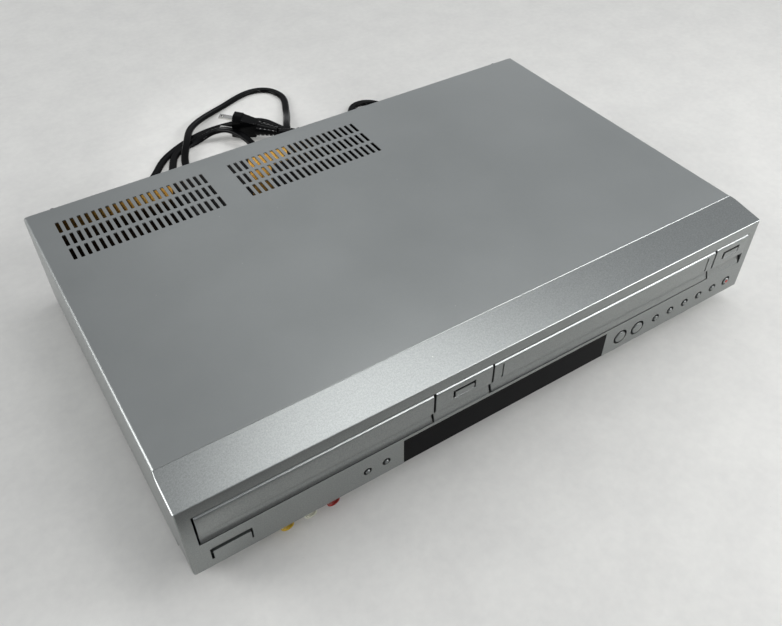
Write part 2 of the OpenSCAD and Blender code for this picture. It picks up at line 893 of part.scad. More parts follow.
module jack_boards() {
    color(phenolic) placed() difference() {
        union() {
            for (x = [[power_x0, power_x1], [right_jack_x0, right_jack_x2]])
                block([x[0], jack_board_y, base_top], [x[1], jack_board_y + board_t, jack_board_h]);
            block([right_jack_x0, jack_board_y, jack_board_h - 14],
                [right_jack_x1, jack_board_y + board_t, jack_board_h]);
        }
        // Way for the mains cord's collar
        bar_y(relief_x, jack_board_y - cut, panel_y, relief_z, 19);
    }
}

function aerial_x() = (tuner_x0 + tuner_x1) / 2;
function aerial_z() = [board_top + 14, board_top + 34];

module tuner() {
    color(steel) placed() {
        difference() {
            block([tuner_x0, main_y1 - 30, board_top], [tuner_x1, main_y1, board_top + tuner_h]);
            for (i = [0 : 4])
                block([tuner_x0 + 6 + i * 7, main_y1 - 24, board_top + tuner_h - 1],
                    [tuner_x0 + 9 + i * 7, main_y1 - 8, board_top + tuner_h + cut]);
        }
        for (z = aerial_z())
            difference() {
                union() {
                    bar_y(aerial_x(), main_y1, body_d + socket_reach, z, aerial_d);
                    translate([aerial_x(), panel_y + sheet, z])
                        rotate([-90, 0, 0])
                            cylinder(d = 14, h = 2, $fn = 6);
                }
                bar_y(aerial_x(), body_d + socket_reach - 6, body_d + socket_reach + cut, z, 6.4);
            }
    }
}

// ---------------------------------------------------------------- phono sockets

// A coloured front barrel, flanged behind the skirt
module front_jack(i) {
    x = front_jack_x + i * front_jack_pitch;
    difference() {
        union() {
            bar_y(x, 2.6, jack_back, front_jack_z, jack_d);
            bar_y(x, jack_back, jack_back + jack_flange_t, front_jack_z, jack_d + 1.4);
        }
        bar_y(x, 1, jack_back, front_jack_z, jack_bore);
    }
}

// A coloured rear barrel, flanged between its board and the rear panel
module rear_jack(column, row) {
    x = rear_columns[column];
    z = rear_jack_z + row * rear_jack_pitch;
    difference() {
        union() {
            bar_y(x, jack_board_y + board_t, panel_y, z, jack_flange_d);
            bar_y(x, panel_y, panel_y + rear_jack_reach, z, jack_d);
        }
        bar_y(x, panel_y, panel_y + rear_jack_reach + cut, z, jack_bore);
    }
}

module jack_group(order) {
    placed() {
        front_jack(order);
        for (column = [0, 1])
            rear_jack(column, 2 - order);
    }
}

module yellow_jacks() {
    color("gold") jack_group(0);
}

module white_jacks() {
    color("white") jack_group(1);
}

module red_jacks() {
    color("firebrick") jack_group(2);
}

// Nickel sleeve and centre contact inside each socket
module jack_contacts() {
    color(steel) placed() {
        for (i = [0 : 2])
            jack_contact(front_jack_x + i * front_jack_pitch, 3.2, jack_back, front_jack_z, 1);
        for (x = rear_columns, row = [0 : 2])
            jack_contact(x, panel_y, panel_y + rear_jack_reach - 0.6, rear_jack_z + row * rear_jack_pitch, -1);
    }
}

module jack_contact(x, y0, y1, z, mouth) {
    difference() {
        bar_y(x, y0, y1, z, jack_bore);
        bar_y(x, mouth > 0 ? y0 - cut : y0 + 1.4, mouth > 0 ? y1 - 1.4 : y1 + cut, z, jack_bore - 1);
    }
    difference() {
        bar_y(x, y0 + (mouth > 0 ? 1 : 0), y1 - (mouth > 0 ? 0 : 1), z, 4.2);
        bar_y(x, mouth > 0 ? y0 - cut : y0 + 2, mouth > 0 ? y1 - 2 : y1 + cut, z, 3.2);
    }
}

// ---------------------------------------------------------------- mains cord

module strain_relief() {
    exit_y = panel_y + sheet;
    color(black) placed() {
        // Collar gripping the panel on both sides of its square hole
        translate([relief_x, panel_y - 3, relief_z])
            rotate([-90, 0, 0])
                translate([-7, -6, 0])
                    linear_extrude(3)
                        round_rect(14, 12, 2);
        along_y(panel_y, sheet)
            translate([relief_x, relief_z])
                square([relief_hole_w, relief_hole_h], center = true);
        translate([relief_x, exit_y, relief_z])
            rotate([-90, 0, 0]) {
                cylinder(d = 13, h = 2.4);
                // Ribbed boot that narrows to the cord
                rotate_extrude()
                    polygon(concat([[0, 0], [5.4, 0]], boot_ribs(), [[0, relief_l]]));
            }
    }
}

function boot_r(s) = 5.4 - 1.5 * s / relief_l;
function boot_ribs() = [for (i = [0 : 5], step = [[0, 0], [2.4, 0], [2.4, -0.8], [3.6, -0.8]])
    let (s = 3 + i * (relief_l - 6) / 6 + step[0]) [boot_r(s) + step[1], s]];

// The route of the mains cord in the part's frame: out of the strain relief, down to the floor
// and along it in loose loops to the plug
relief_exit = [relief_x - body_w / 2, face_y + panel_y + sheet + relief_l, relief_z];
plug_tail = [28.5, 243.5, 9];
plug_turn = 140;
plug_lift = 6.7;
cord_route = [
    relief_exit,
    [-183, 186, 19],
    [-173, 213, 6],
    [-142, 231, 2],
    [-104, 239, 2],
    [-74, 270, 2],
    [-36, 289, 2],
    [0, 291, 2],
    [28, 281, 2],
    [42, 252, 2],
    [68, 227, 2],
    [99, 232, 2],
    [123, 256, 2],
    [145, 239, 2],
    [140, 207, 2],
    [104, 194, 2],
    [60, 196, 2],
    [33, 218, 2.4],
    [41, 248, 6],
    [57, 282, 2],
    [67, 316, 2],
    [48, 338, 2],
    [8, 327, 2],
    [-32, 304, 5.4],
    [-50, 277, 6.4],
    [-64, 246, 3],
    [-64, 208, 2],
    [-90, 182, 2],
    [-114, 206, 2],
    [-83, 237, 2],
    [-65, 269, 2],
    [-40, 279, 2.6],
    [-21, 276, 9],
    [-9, 261, 13],
    [-1, 236, 9],
    [-4, 206, 3],
    [24, 185, 2],
    [48, 206, 6],
    [42, 231, 9.2],
    plug_tail
];

// A smooth curve through the route: its tangents grow in bends, which keeps them round
function route_at(i) = cord_route[max(0, min(len(cord_route) - 1, i))];
function bend_at(i) =
    let (u = route_at(i) - route_at(i - 1), v = route_at(i + 1) - route_at(i))
    i <= 0 || i >= len(cord_route) - 1 ? 0 : acos(min(1, u * v / norm(u) / norm(v)));
function tangent_at(i) =
    let (way = route_at(i + 1) - route_at(i - 1), bend = bend_at(i))
    i <= 0 || i >= len(cord_route) - 1 ? way
        : bend < 1 ? way / 2
        : way / 2 * (bend * PI / 180) / sin(bend);
function spline(i, t) =
    let (p = (2 * t * t * t - 3 * t * t + 1) * route_at(i) + (t * t * t - 2 * t * t + t) * tangent_at(i)
            + (3 * t * t - 2 * t * t * t) * route_at(i + 1) + (t * t * t - t * t) * tangent_at(i + 1))
    [p[0], p[1], max(p[2], cord_t / 2 + 0.05)];
cord_steps = 2;
cord_line = [for (i = [0 : len(cord_route) - 2], k = [0 : cord_steps - 1]) spline(i, k / cord_steps),
    cord_route[len(cord_route) - 1]];
cord_sides = 8;

// One ring of the cord, lying flat across the way it runs
function cord_ring(i) =
    let (n = len(cord_line),
        ahead = cord_line[min(n - 1, i + 1)] - cord_line[max(0, i - 1)],
        run = ahead / norm(ahead),
        side = cross([0, 0, 1], run) / norm(cross([0, 0, 1], run)),
        up = cross(run, side))
    [for (k = [0 : cord_sides - 1])
        let (turn = 360 * (k + 0.5) / cord_sides)
        cord_line[i] + side * cos(turn) * cord_w / 2 / cos(180 / cord_sides)
            + up * sin(turn) * cord_t / 2 / cos(180 / cord_sides)];

module mains_cord() {
    n = len(cord_line);
    rings = [for (i = [0 : n - 1]) each cord_ring(i)];
    sides = [for (i = [0 : n - 2], k = [0 : cord_sides - 1])
        [i * cord_sides + k, i * cord_sides + (k + 1) % cord_sides,
            (i + 1) * cord_sides + (k + 1) % cord_sides, (i + 1) * cord_sides + k]];
    ends = [[for (k = [cord_sides - 1 : -1 : 0]) k], [for (k = [0 : cord_sides - 1]) (n - 1) * cord_sides + k]];
    color(black)
        polyhedron(points = rings, faces = concat(sides, ends), convexity = 10);
}

// Works in the plug's own frame: x from the tail towards the blades, z across both blades
module at_plug() {
    translate(plug_tail)
        rotate([0, -plug_lift, plug_turn])
            children();
}

boot_end = 20;
grip_end = 34;
plug_end = 42;
flange_w = 15;
flange_h = 23.6;
blade_pitch = 12.7;

module plug() {
    color(black) at_plug() {
        // Ribbed boot
        rotate([0, 90, 0])
            rotate_extrude()
                polygon(concat([[0, 0]],
                    [for (i = [0 : 4], step = [[0, 0], [2.4, 0.3], [2.4, -0.7], [4, -0.4]])
                        [4.2 + i * 0.55 + step[1], i * 4 + step[0]]],
                    [[6.6, boot_end - 1], [6.6, boot_end], [0, boot_end]]));
        // Grip that widens towards the flange, with three thumb grooves on each edge
        difference() {
            intersection() {
                translate([0, 8, 0])
                    rotate([90, 0, 0])
                        linear_extrude(16)
                            polygon([[boot_end - 1, -7], [grip_end, -9.6], [grip_end, 9.6], [boot_end - 1, 7]]);
                translate([0, 0, -11])
                    linear_extrude(22)
                        polygon([[boot_end - 1, -5.2], [grip_end, -6.6], [grip_end, 6.6], [boot_end - 1, 5.2]]);
            }
            for (x = [boot_end + 3, boot_end + 6.5, boot_end + 10], side = [-1, 1])
                translate([x, 0, side * (8.4 + (x - boot_end) * 0.18)])
                    cube([1.4, 16, 2], center = true);
        }
        // Flange
        translate([grip_end, -flange_w / 2, -flange_h / 2])
            rotate([90, 0, 90])
                linear_extrude(plug_end - grip_end)
                    round_rect(flange_w, flange_h, 5);
    }
}

module plug_blades() {
    color(steel) at_plug()
        for (side = [-blade_pitch / 2, blade_pitch / 2])
            difference() {
                translate([plug_end, -3.2, side - 0.75])
                    cube([14, 6.4, 1.5]);
                translate([plug_end + 11, 0, side - 2])
                    cylinder(d = 3, h = 4, $fn = 24);
            }
}

// ---------------------------------------------------------------- disc loader

module loader_frame() {
    left = disc_x - loader_half;
    right = disc_x + loader_half;
    color([0.2, 0.2, 0.22]) placed() difference() {
        union() {
            // Floor ring and side walls
            difference() {
                block([left, loader_y0, loader_z], [right, loader_y1, loader_z + 2]);
                block([disc_x - traverse_half + 1, loader_y0 + 40, loader_z - cut],
                    [disc_x + traverse_half - 1, loader_y1 - 12, loader_z + 3]);
            }
            for (x = [left, right - loader_wall])
                block([x, loader_y0, loader_z], [x + loader_wall, loader_y1, loader_top]);
            block([left, loader_y1 - loader_wall, loader_z], [right, loader_y1, loader_top]);
            block([left, loader_y0, loader_z], [right, loader_y0 + loader_wall, tray_z - 6]);
            // Rails under the tray and guides over it
            for (x = [[left, tray_half - rail_in], [disc_x + tray_half - rail_in, 0]])
                block([x[1] == 0 ? x[0] : left + loader_wall / 2, loader_y0, tray_z - running - 2.4],
                    [x[1] == 0 ? right - loader_wall / 2 : disc_x - tray_half + rail_in, loader_y1 - loader_wall,
                        tray_z - running]);
            for (y = [loader_y0 + 4, spindle_y, loader_y1 - 30], side = [-1, 1])
                block([disc_x + side * (loader_half - 1) - (side > 0 ? tray_gap + rail_in + loader_wall - 1 : 0), y,
                    tray_top + running],
                    [disc_x + side * (loader_half - 1) + (side < 0 ? tray_gap + rail_in + loader_wall - 1 : 0), y + 8,
                        tray_top + running + 1.8]);
            // Lugs for the traverse's pins
            for (side = [-1, 1])
                block([disc_x + side * traverse_lug_x - 1.5, traverse_y - 5, loader_z],
                    [disc_x + side * traverse_lug_x + 1.5, traverse_y + 5, traverse_z + 4]);
            // Post for the pinion
            post(rack_x + pinion_r, pinion_y, loader_z, tray_z - 4.3, 7);
            post(rack_x + pinion_r, pinion_y, loader_z, tray_z - 0.8, axle_d);
        }
        for (side = [-1, 1])
            bar_x(disc_x + side * traverse_lug_x - 3, disc_x + side * traverse_lug_x + 3,
                traverse_y, traverse_z, axle_d + 2 * shaft_gap);
    }
}

// Teeth that point along +x from the pitch line at the origin, repeated along y
module rack_teeth(count) {
    pitch = PI * gear_module;
    for (i = [0 : count - 1])
        translate([0, i * pitch, 0])
            polygon([
                [-1.3 * gear_module, -1.05 * gear_module],
                [0, -0.6 * gear_module],
                [0.8 * gear_module, -0.4 * gear_module],
                [0.8 * gear_module, 0.4 * gear_module],
                [0, 0.6 * gear_module],
                [-1.3 * gear_module, 1.05 * gear_module]
            ]);
}

module disc_tray() {
    rack_count = floor((tray_l - 12) / (PI * gear_module));
    color([0.25, 0.25, 0.27]) placed() {
        difference() {
            union() {
                block([disc_x - tray_half, door_back, tray_z], [disc_x + tray_half, door_back + tray_l, tray_top]);
                block([disc_x - tray_half + 8, door_back, tray_z - 5], [disc_x + tray_half - 8, door_back + 2, tray_z]);
            }
            // Recesses for large and small discs, with finger cut-outs
            post(disc_x, spindle_y, tray_top - disc_recess, tray_top + cut, disc_recess_d);
            post(disc_x, spindle_y, tray_top - disc_recess - 1.2, tray_top + cut, small_disc_d);
            for (side = [-1, 1])
                translate([disc_x + side * finger_x, spindle_y - finger_y, tray_top - disc_recess - 1])
                    cylinder(d = 24, h = 8);
            // Way for the turntable and the pickup
            post(disc_x, spindle_y, tray_z - cut, tray_top + cut, 2 * tray_way_half);
            block([disc_x - tray_way_half, spindle_y, tray_z - cut],
                [disc_x + tray_way_half, spindle_y + tray_way_l, tray_top + cut]);
            // Relief behind the recess
            block([disc_x - tray_half + 6, door_back + tray_l - 22, tray_z + 2],
                [disc_x - 24, door_back + tray_l - 4, tray_top + cut]);
            block([disc_x + 24, door_back + tray_l - 22, tray_z + 2],
                [disc_x + tray_half - 6, door_back + tray_l - 4, tray_top + cut]);
        }
        // Rack moulded under the left side
        translate([rack_x, pinion_y - 2 * PI * gear_module, tray_z - 3.4])
            linear_extrude(3.4)
                rack_teeth(rack_count - 6);
        block([rack_x - 4, pinion_y - 8, tray_z - 3.4],
            [rack_x - 1.3 * gear_module + 0.2, pinion_y - 8 + (rack_count - 6) * PI * gear_module + 4, tray_z]);
    }
}

module tray_pinion() {
    color("ivory") placed()
        translate([rack_x + pinion_r, pinion_y, tray_z - 4])
            difference() {
                linear_extrude(pinion_t)
                    union() {
                        circle(pinion_r - 1.1 * gear_module);
                        for (i = [0 : pinion_teeth - 1])
                            rotate(360 * (i + 0.5) / pinion_teeth)
                                polygon([
                                    [pinion_r - 1.6 * gear_module, -0.8 * gear_module],
                                    [pinion_r, -0.62 * gear_module],
                                    [pinion_r + 0.8 * gear_module, -0.34 * gear_module],
                                    [pinion_r + 0.8 * gear_module, 0.34 * gear_module],
                                    [pinion_r, 0.62 * gear_module],
                                    [pinion_r - 1.6 * gear_module, 0.8 * gear_module]
                                ]);
                    }
                translate([0, 0, -cut])
                    cylinder(d = axle_d + 2 * shaft_gap, h = pinion_t + 2 * cut);
            }
}

module traverse() {
    color([0.16, 0.16, 0.18]) placed() {
        difference() {
            block([disc_x - traverse_half, spindle_y - 14, traverse_z - 1],
                [disc_x + traverse_half, traverse_y + 3, traverse_z + 1]);
            block([disc_x - sled_way_half, spindle_y + sled_way_y, traverse_z - 2],
                [disc_x + sled_way_half, spindle_y + rod_l - 2, traverse_z + 2]);
        }
        bar_x(disc_x - traverse_lug_x - 1.5, disc_x + traverse_lug_x + 1.5, traverse_y, traverse_z, axle_d);
        // Spindle motor and the pickup's two guide rods
        post(disc_x, spindle_y, traverse_z, traverse_z + motor_h, 24);
        for (side = [-1, 1]) {
            bar_y(disc_x + side * rod_x, spindle_y + 2, spindle_y + 2 + rod_l, traverse_z + rod_h, rod_d);
            for (y = [spindle_y, spindle_y + rod_l])
                block([disc_x + side * rod_x - 2.5, y, traverse_z],
                    [disc_x + side * rod_x + 2.5, y + 3, traverse_z + rod_h + 2]);
        }
    }
}

module turntable() {
    color(black) placed()
        translate([disc_x, spindle_y, traverse_z + motor_h + running])
            rotate_extrude()
                polygon([[0, 0], [turntable_d / 2, 0], [turntable_d / 2, 4], [7.4, 4], [7, 6.2], [2.2, 6.8], [0, 6.8]]);
}

module pickup() {
    color([0.3, 0.3, 0.33]) placed()
        translate([disc_x, spindle_y + 22, traverse_z]) {
            difference() {
                union() {
                    block([-rod_x - 3.5, 0, rod_h - 2.5], [rod_x + 3.5, 8, rod_h + 2.5]);
                    block([5 - rod_x, 0, 2.2], [rod_x - 5, 22, rod_h + 2.5]);
                    block([-rod_x - 3.5, 14, rod_h - 2.5], [5 - rod_x, 22, rod_h + 2.5]);
                }
                for (side = [-1, 1])
                    bar_y(side * rod_x, -cut, 22 + cut, rod_h, rod_d + 2 * running);
            }
            // Lens in its holder
            block([-8, 5, 8], [8, 17, 9.4]);
            post(0, 11, 9.4, 10.4, 6);
        }
}

module clamp_bridge() {
    color(steel) placed() difference() {
        union() {
            block([disc_x - loader_half, spindle_y - bridge_half, bridge_z],
                [disc_x + loader_half, spindle_y + bridge_half, bridge_z + bridge_t]);
            // Stiffening folds
            for (y = [spindle_y - bridge_half, spindle_y + bridge_half - bridge_t])
                block([disc_x - loader_half + 10, y, bridge_z],
                    [disc_x + loader_half - 10, y + bridge_t, bridge_z + 4]);
        }
        post(disc_x, spindle_y, bridge_z - cut, bridge_z + bridge_t + cut, bridge_bore);
    }
}

module clamp_puck() {
    color(black) placed() {
        post(disc_x, spindle_y, bridge_z + bridge_t + running, bridge_z + 3.6, bridge_bore + 6);
        post(disc_x, spindle_y, tray_top + 4.6, bridge_z + 2, bridge_bore - 2);
        post(disc_x, spindle_y, tray_top + 4, tray_top + 6, turntable_d - 2);
    }
}

// ---------------------------------------------------------------- cassette deck

// A ring sector of the pole bases' slots; side is 1 on the right and -1 on the left
module pole_slot(side) {
    translate([deck_x + side * pole_centre_in, pole_centre_y, deck_low - cut])
        mirror([side > 0 ? 1 : 0, 0, 0])
            rotate([0, 0, pole_start - pole_sweep - 4])
                rotate_extrude(angle = pole_sweep + 8, $fn = 96)
                    translate([pole_r - 1.6, 0])
                        square([3.2, chassis_t + 2 * cut]);
}

module deck_chassis() {
    left = deck_x - deck_half;
    right = deck_x + deck_half;
    color(steel) placed() {
        difference() {
            union() {
                block([left, deck_y0, deck_low], [right, deck_y1, deck_top]);
                // Rims folded down at front and back
                for (y = [deck_y0, deck_y1 - chassis_t])
                    block([left + 14, y, deck_low - 3], [right - 14, y + chassis_t, deck_low]);
                // Capstan bearing
                post(capstan_x, capstan_y, deck_top, deck_top + 4, 8);
                // Reel posts, pinch arm's post, tape guides and the head block
                for (side = [-1, 1])
                    post(deck_x + side * reel_pitch / 2, reel_y, deck_low, deck_top + 17, axle_d);
                post(pinch_pivot_x, pinch_pivot_y, deck_low, deck_top + 9, axle_d);
                post(deck_x - 60, capstan_y + 18, deck_low, deck_top + 20, 5);
                post(deck_x - 58, capstan_y + 4, deck_low, deck_top + 20, 4);
                block([deck_x + 59, capstan_y + 14, deck_top], [deck_x + 67, capstan_y + 19, deck_top + 18]);
            }
            post(capstan_x, capstan_y, deck_low - cut, deck_top + 8, capstan_d + 2 * shaft_gap);
            for (side = [-1, 1])
                pole_slot(side);
            // Lightening holes
            post(deck_x, reel_y - 10, deck_low - cut, deck_top + cut, 30);
            post(deck_x, reel_y + 30, deck_low - cut, deck_top + cut, 22);
        }
    }
}

module carriage_frame() {
    y0 = holder_y0 + 4;
    y1 = y0 + holder_slide + holder_l + 12;
    slot_y0 = pin_y + pin_pitch / 2 - 6 - running;
    color(steel) placed() {
        for (side = [-1, 1]) {
            inner = deck_x + side * bracket_in;
            low_x = side > 0 ? inner : inner - bracket_t;
            difference() {
                block([low_x, y0, deck_top], [low_x + bracket_t, y1, holder_top + 3]);
                block([low_x - cut, slot_y0, slider_guide_z - 2 - running],
                    [low_x + bracket_t + cut, slot_y0 + 12 + holder_slide + 2 * running, slider_guide_z + 2 + running]);
                // Window that shows the holder's edge
                block([low_x - cut, y1 - 34, deck_top + 12], [low_x + bracket_t + cut, y1 - 12, holder_top - 14]);
            }
            // Foot screwed to the chassis
            block([side > 0 ? low_x : low_x - 4, y0, deck_top],
                [side > 0 ? low_x + bracket_t + 4 : low_x + bracket_t, y0 + 14, deck_top + 1.2]);
        }
        // Bridges that tie the two sides together over the holder
        for (y = [y0 + 8, y1 - 14])
            block([deck_x - bracket_in - bracket_t, y, holder_top + 1.8],
                [deck_x + bracket_in + bracket_t, y + 10, holder_top + 3]);
    }
}

// Two nylon guides, one each side: they slide in the side plates' slots and carry the holder's pins
module carriage_slider() {
    middle = pin_y + pin_pitch / 2;
    color("ivory") placed() for (side = [-1, 1]) {
        inner = deck_x + side * slider_in;
        low_x = side > 0 ? inner : inner - slider_t;
        difference() {
            block([low_x, middle - 16, pin_z - holder_drop - 6], [low_x + slider_t, middle + 16, pin_z + 5]);
            for (y = [pin_y, pin_y + pin_pitch])
                block([low_x - cut, y - pin_d / 2 - running, pin_z - holder_drop - pin_d / 2 - running],
                    [low_x + slider_t + cut, y + pin_d / 2 + running, pin_z + pin_d / 2 + running]);
        }
        block([side > 0 ? low_x + slider_t : low_x - 2, middle - 6, slider_guide_z - 2],
            [side > 0 ? low_x + slider_t + 2 : low_x, middle + 6, slider_guide_z + 2]);
    }
}

module cassette_holder() {
    low = holder_floor - holder_wall;
    y1 = holder_y0 + holder_l;
    color(steel) placed() {
        for (side = [-1, 1]) {
            wall_x = side > 0 ? deck_x + holder_in : deck_x - holder_out;
            ledge_x = side > 0 ? deck_x + holder_in - ledge_w : deck_x - holder_in;
            difference() {
                block([wall_x, holder_y0, low], [wall_x + holder_wall, y1, holder_top]);
                block([wall_x - cut, y1 - 22, holder_floor + 6], [wall_x + holder_wall + cut, y1 - 8, holder_top - 7]);
            }
            block([ledge_x, holder_y0, low], [ledge_x + ledge_w, y1, holder_floor]);
            for (y = [pin_y, pin_y + pin_pitch])
                bar_x(side > 0 ? deck_x + holder_out : deck_x - slider_in - slider_t + 0.3,
                    side > 0 ? deck_x + slider_in + slider_t - 0.3 : deck_x - holder_out, y, pin_z, pin_d);
        }
        // Roof strips, front and back
        for (y = [holder_y0, y1 - 14])
            block([deck_x - holder_in, y, holder_top - holder_wall], [deck_x + holder_in, y + (y == holder_y0 ? 10 : 14), holder_top]);
    }
}

// Works in the tilted frame of the head drum
module at_drum() {
    translate([deck_x, drum_y, deck_top + 3])
        rotate([-drum_tilt, 0, 0])
            children();
}

module drum_base() {
    color("gainsboro") placed() {
        // Cast foot with three legs
        post(deck_x, drum_y, deck_top, deck_top + 5, drum_d + 2);
        block([deck_x - 30, drum_y + 24, deck_top], [deck_x + 30, drum_y + 38, deck_top + 5]);
        // Fixed lower drum and its stub shaft
        at_drum() {
            cylinder(d = drum_d, h = lower_drum_h);
            cylinder(d = drum_shaft_d, h = 2 * lower_drum_h);
        }
    }
}

module head_drum() {
    color("whitesmoke") placed() at_drum()
        translate([0, 0, lower_drum_h + running])
            difference() {
                rotate_extrude($fn = 96)
                    polygon([[0, 0], [drum_d / 2, 0], [drum_d / 2, 11], [drum_d / 2 - 0.6, 11.6], [24, 11.6],
                        [24, 17.4], [22, 18.2], [8, 18.2], [7, 20], [0, 20]]);
                translate([0, 0, -cut])
                    cylinder(d = drum_shaft_d + 2 * shaft_gap, h = 17 + cut);
                for (turn = [0 : 90 : 270])
                    rotate([0, 0, turn])
                        translate([16, 0, 17])
                            cylinder(d = 3.2, h = 3);
            }
}

module capstan() {
    color("gainsboro") placed() {
        post(capstan_x, capstan_y, board_top + 1, deck_top + 27, capstan_d);
        translate([capstan_x, capstan_y, board_top + 1])
            rotate_extrude()
                polygon([[0, 0], [flywheel_d / 2, 0], [flywheel_d / 2, 1.2], [flywheel_d / 2 - 1, 1.7],
                    [flywheel_d / 2, 2.2], [flywheel_d / 2, 3.4], [8, 3.4], [8, 2.4], [0, 2.4]]);
    }
}

// Works at the pinch arm's pivot, x along the arm at rest
module at_pinch() {
    translate([pinch_pivot_x, pinch_pivot_y, deck_top])
        rotate([0, 0, pinch_rest])
            children();
}

module pinch_arm() {
    color(steel) placed() at_pinch() {
        difference() {
            union() {
                translate([0, 0, running]) cylinder(d = 8, h = 8.4);
                translate([0, -2.5, 3]) cube([pinch_reach, 5, 1.6]);
                translate([pinch_reach, 0, 3]) cylinder(d = 6, h = 1.6);
            }
            translate([0, 0, -cut]) cylinder(d = axle_d + 2 * shaft_gap, h = 12);
        }
        translate([pinch_reach, 0, 3]) cylinder(d = 2, h = 19);
    }
}

module pinch_roller() {
    color(black) placed() at_pinch()
        translate([pinch_reach, 0, 4.6 + running])
            difference() {
                cylinder(d = pinch_d, h = 15);
                translate([0, 0, -cut]) cylinder(d = 2 + 2 * shaft_gap, h = 15 + 2 * cut);
                difference() {
                    translate([0, 0, 13.8]) cylinder(d = pinch_d - 3, h = 3);
                    translate([0, 0, 13]) cylinder(d = 5, h = 3);
                }
            }
}

// A reel table: toothed rim, and a spindle with three splines
module reel_table(x) {
    color("dimgray") placed()
        translate([x, reel_y, deck_top + running])
            difference() {
                union() {
                    cylinder(d = reel_d - 2, h = 3);
                    for (i = [0 : 35])
                        rotate([0, 0, 10 * i])
                            translate([reel_d / 2 - 1.6, -0.8, 0])
                                cube([1.6, 1.6, 2]);
                    cylinder(d = 16, h = 5);
                    cylinder(d = 9, h = 16);
                    for (turn = [0, 120, 240])
                        rotate([0, 0, turn])
                            translate([0, -1, 0])
                                cube([7, 2, 15]);
                }
                translate([0, 0, -cut]) cylinder(d = axle_d + 2 * shaft_gap, h = 20);
            }
}

// A pole base: sliding foot, guide pin in the slot, and a post with its roller
module pole_base(side) {
    start = side > 0 ? 180 - pole_start : pole_start;
    color("gainsboro") placed()
        translate([deck_x + side * pole_centre_in + pole_r * cos(start), pole_centre_y + pole_r * sin(start), deck_top]) {
            translate([0, 0, running]) cylinder(d = 12, h = 2.6);
            translate([0, 0, -chassis_t - 0.3]) cylinder(d = 2.4, h = 4);
            cylinder(d = 3, h = 21);
            translate([0, 0, 4]) cylinder(d = 6, h = 14);
            translate([0, 0, 18.6]) cylinder(d = 7, h = 2);
        }
}

top_cover();
base_pan();
rear_panel();
front_bezel();
button_panels();
display_window();
feet();
cover_screws();
disc_door();
cassette_flap();
power_button();
open_close_button();
eject_button();
channel_down_button();
channel_up_button();
disc_select_button();
tape_select_button();
transport_button(0);  // rewind_button
transport_button(1);  // play_button
transport_button(2);  // fast_forward_button
transport_button(3);  // stop_button
transport_button(4);  // pause_button
record_button();
front_board();
display_tube();
main_board();
power_board();
transformer();
capacitors();
jack_boards();
tuner();
jack_contacts();
yellow_jacks();
white_jacks();
red_jacks();
strain_relief();
mains_cord();
plug();
plug_blades();
loader_frame();
disc_tray();
clamp_bridge();
clamp_puck();
traverse();
turntable();
pickup();
tray_pinion();
deck_chassis();
carriage_frame();
carriage_slider();
cassette_holder();
drum_base();
head_drum();
capstan();
pinch_arm();
pinch_roller();
reel_table(deck_x - reel_pitch / 2);  // supply_reel
reel_table(deck_x + reel_pitch / 2);  // takeup_reel
pole_base(-1);  // left_pole_base
pole_base(1);  // right_pole_base
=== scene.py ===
import json
import bmesh
import bpy
from math import acos, cos, pi, radians, sin, sqrt
from mathutils import Matrix, Vector


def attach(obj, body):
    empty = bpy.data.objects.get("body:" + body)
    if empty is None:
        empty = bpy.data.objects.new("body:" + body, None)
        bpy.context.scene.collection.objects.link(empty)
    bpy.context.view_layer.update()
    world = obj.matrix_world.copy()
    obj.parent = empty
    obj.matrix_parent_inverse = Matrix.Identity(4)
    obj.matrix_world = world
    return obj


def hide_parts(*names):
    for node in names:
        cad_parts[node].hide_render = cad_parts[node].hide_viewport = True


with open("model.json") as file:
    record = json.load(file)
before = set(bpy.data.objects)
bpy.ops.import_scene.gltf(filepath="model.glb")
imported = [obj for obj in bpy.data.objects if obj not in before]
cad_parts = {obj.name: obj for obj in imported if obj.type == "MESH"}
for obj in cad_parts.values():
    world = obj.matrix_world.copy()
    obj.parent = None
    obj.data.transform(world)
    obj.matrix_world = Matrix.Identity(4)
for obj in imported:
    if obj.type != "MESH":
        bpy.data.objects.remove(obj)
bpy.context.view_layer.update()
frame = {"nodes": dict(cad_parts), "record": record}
scene = bpy.context.scene

# Camera: a hand-held view from above the front left corner, looking down over the casing. Its
# three directions are given outright, as it is held a little out of level.
camera = bpy.data.objects.new("camera", bpy.data.cameras.new("camera"))
camera.data.lens = 36.72
camera.data.sensor_width = 36
camera.data.clip_start = 0.01
right = Vector((0.84285, -0.53811, -0.00654))
up = Vector((0.3804, 0.58714, 0.71454))
ahead = Vector((0.38066, 0.60473, -0.69957))
turned_view = Matrix((right, up, -ahead)).transposed().to_4x4()
camera.matrix_world = Matrix.Translation((-0.2353, -0.3759, 0.4164)) @ turned_view
scene.collection.objects.link(camera)
scene.camera = camera


# Base pan: zinc-plated sheet steel with upturned sides, air slots and riveted standoffs. The plating
# shows the grey bloom of rolled zinc.
def group_tree(name, inputs, outputs):
    """A shader node group with named inputs and outputs, and its two end nodes' sockets."""
    tree = bpy.data.node_groups.new(name, "ShaderNodeTree")
    for label, kind, value in inputs:
        socket = tree.interface.new_socket(label, in_out="INPUT", socket_type="NodeSocket" + kind)
        socket.default_value = value
    for label, kind in outputs:
        tree.interface.new_socket(label, in_out="OUTPUT", socket_type="NodeSocket" + kind)
    return tree, tree.nodes.new("NodeGroupInput").outputs, tree.nodes.new("NodeGroupOutput").inputs


def noise(tree, place, scale, detail, roughness=0.55):
    """Cloudy noise of the given fineness, from 0 to 1."""
    node = tree.nodes.new("ShaderNodeTexNoise")
    node.inputs["Detail"].default_value = detail
    node.inputs["Roughness"].default_value = roughness
    tree.links.new(place, node.inputs["Vector"])
    tree.links.new(scale, node.inputs["Scale"])
    return node.outputs["Fac"]


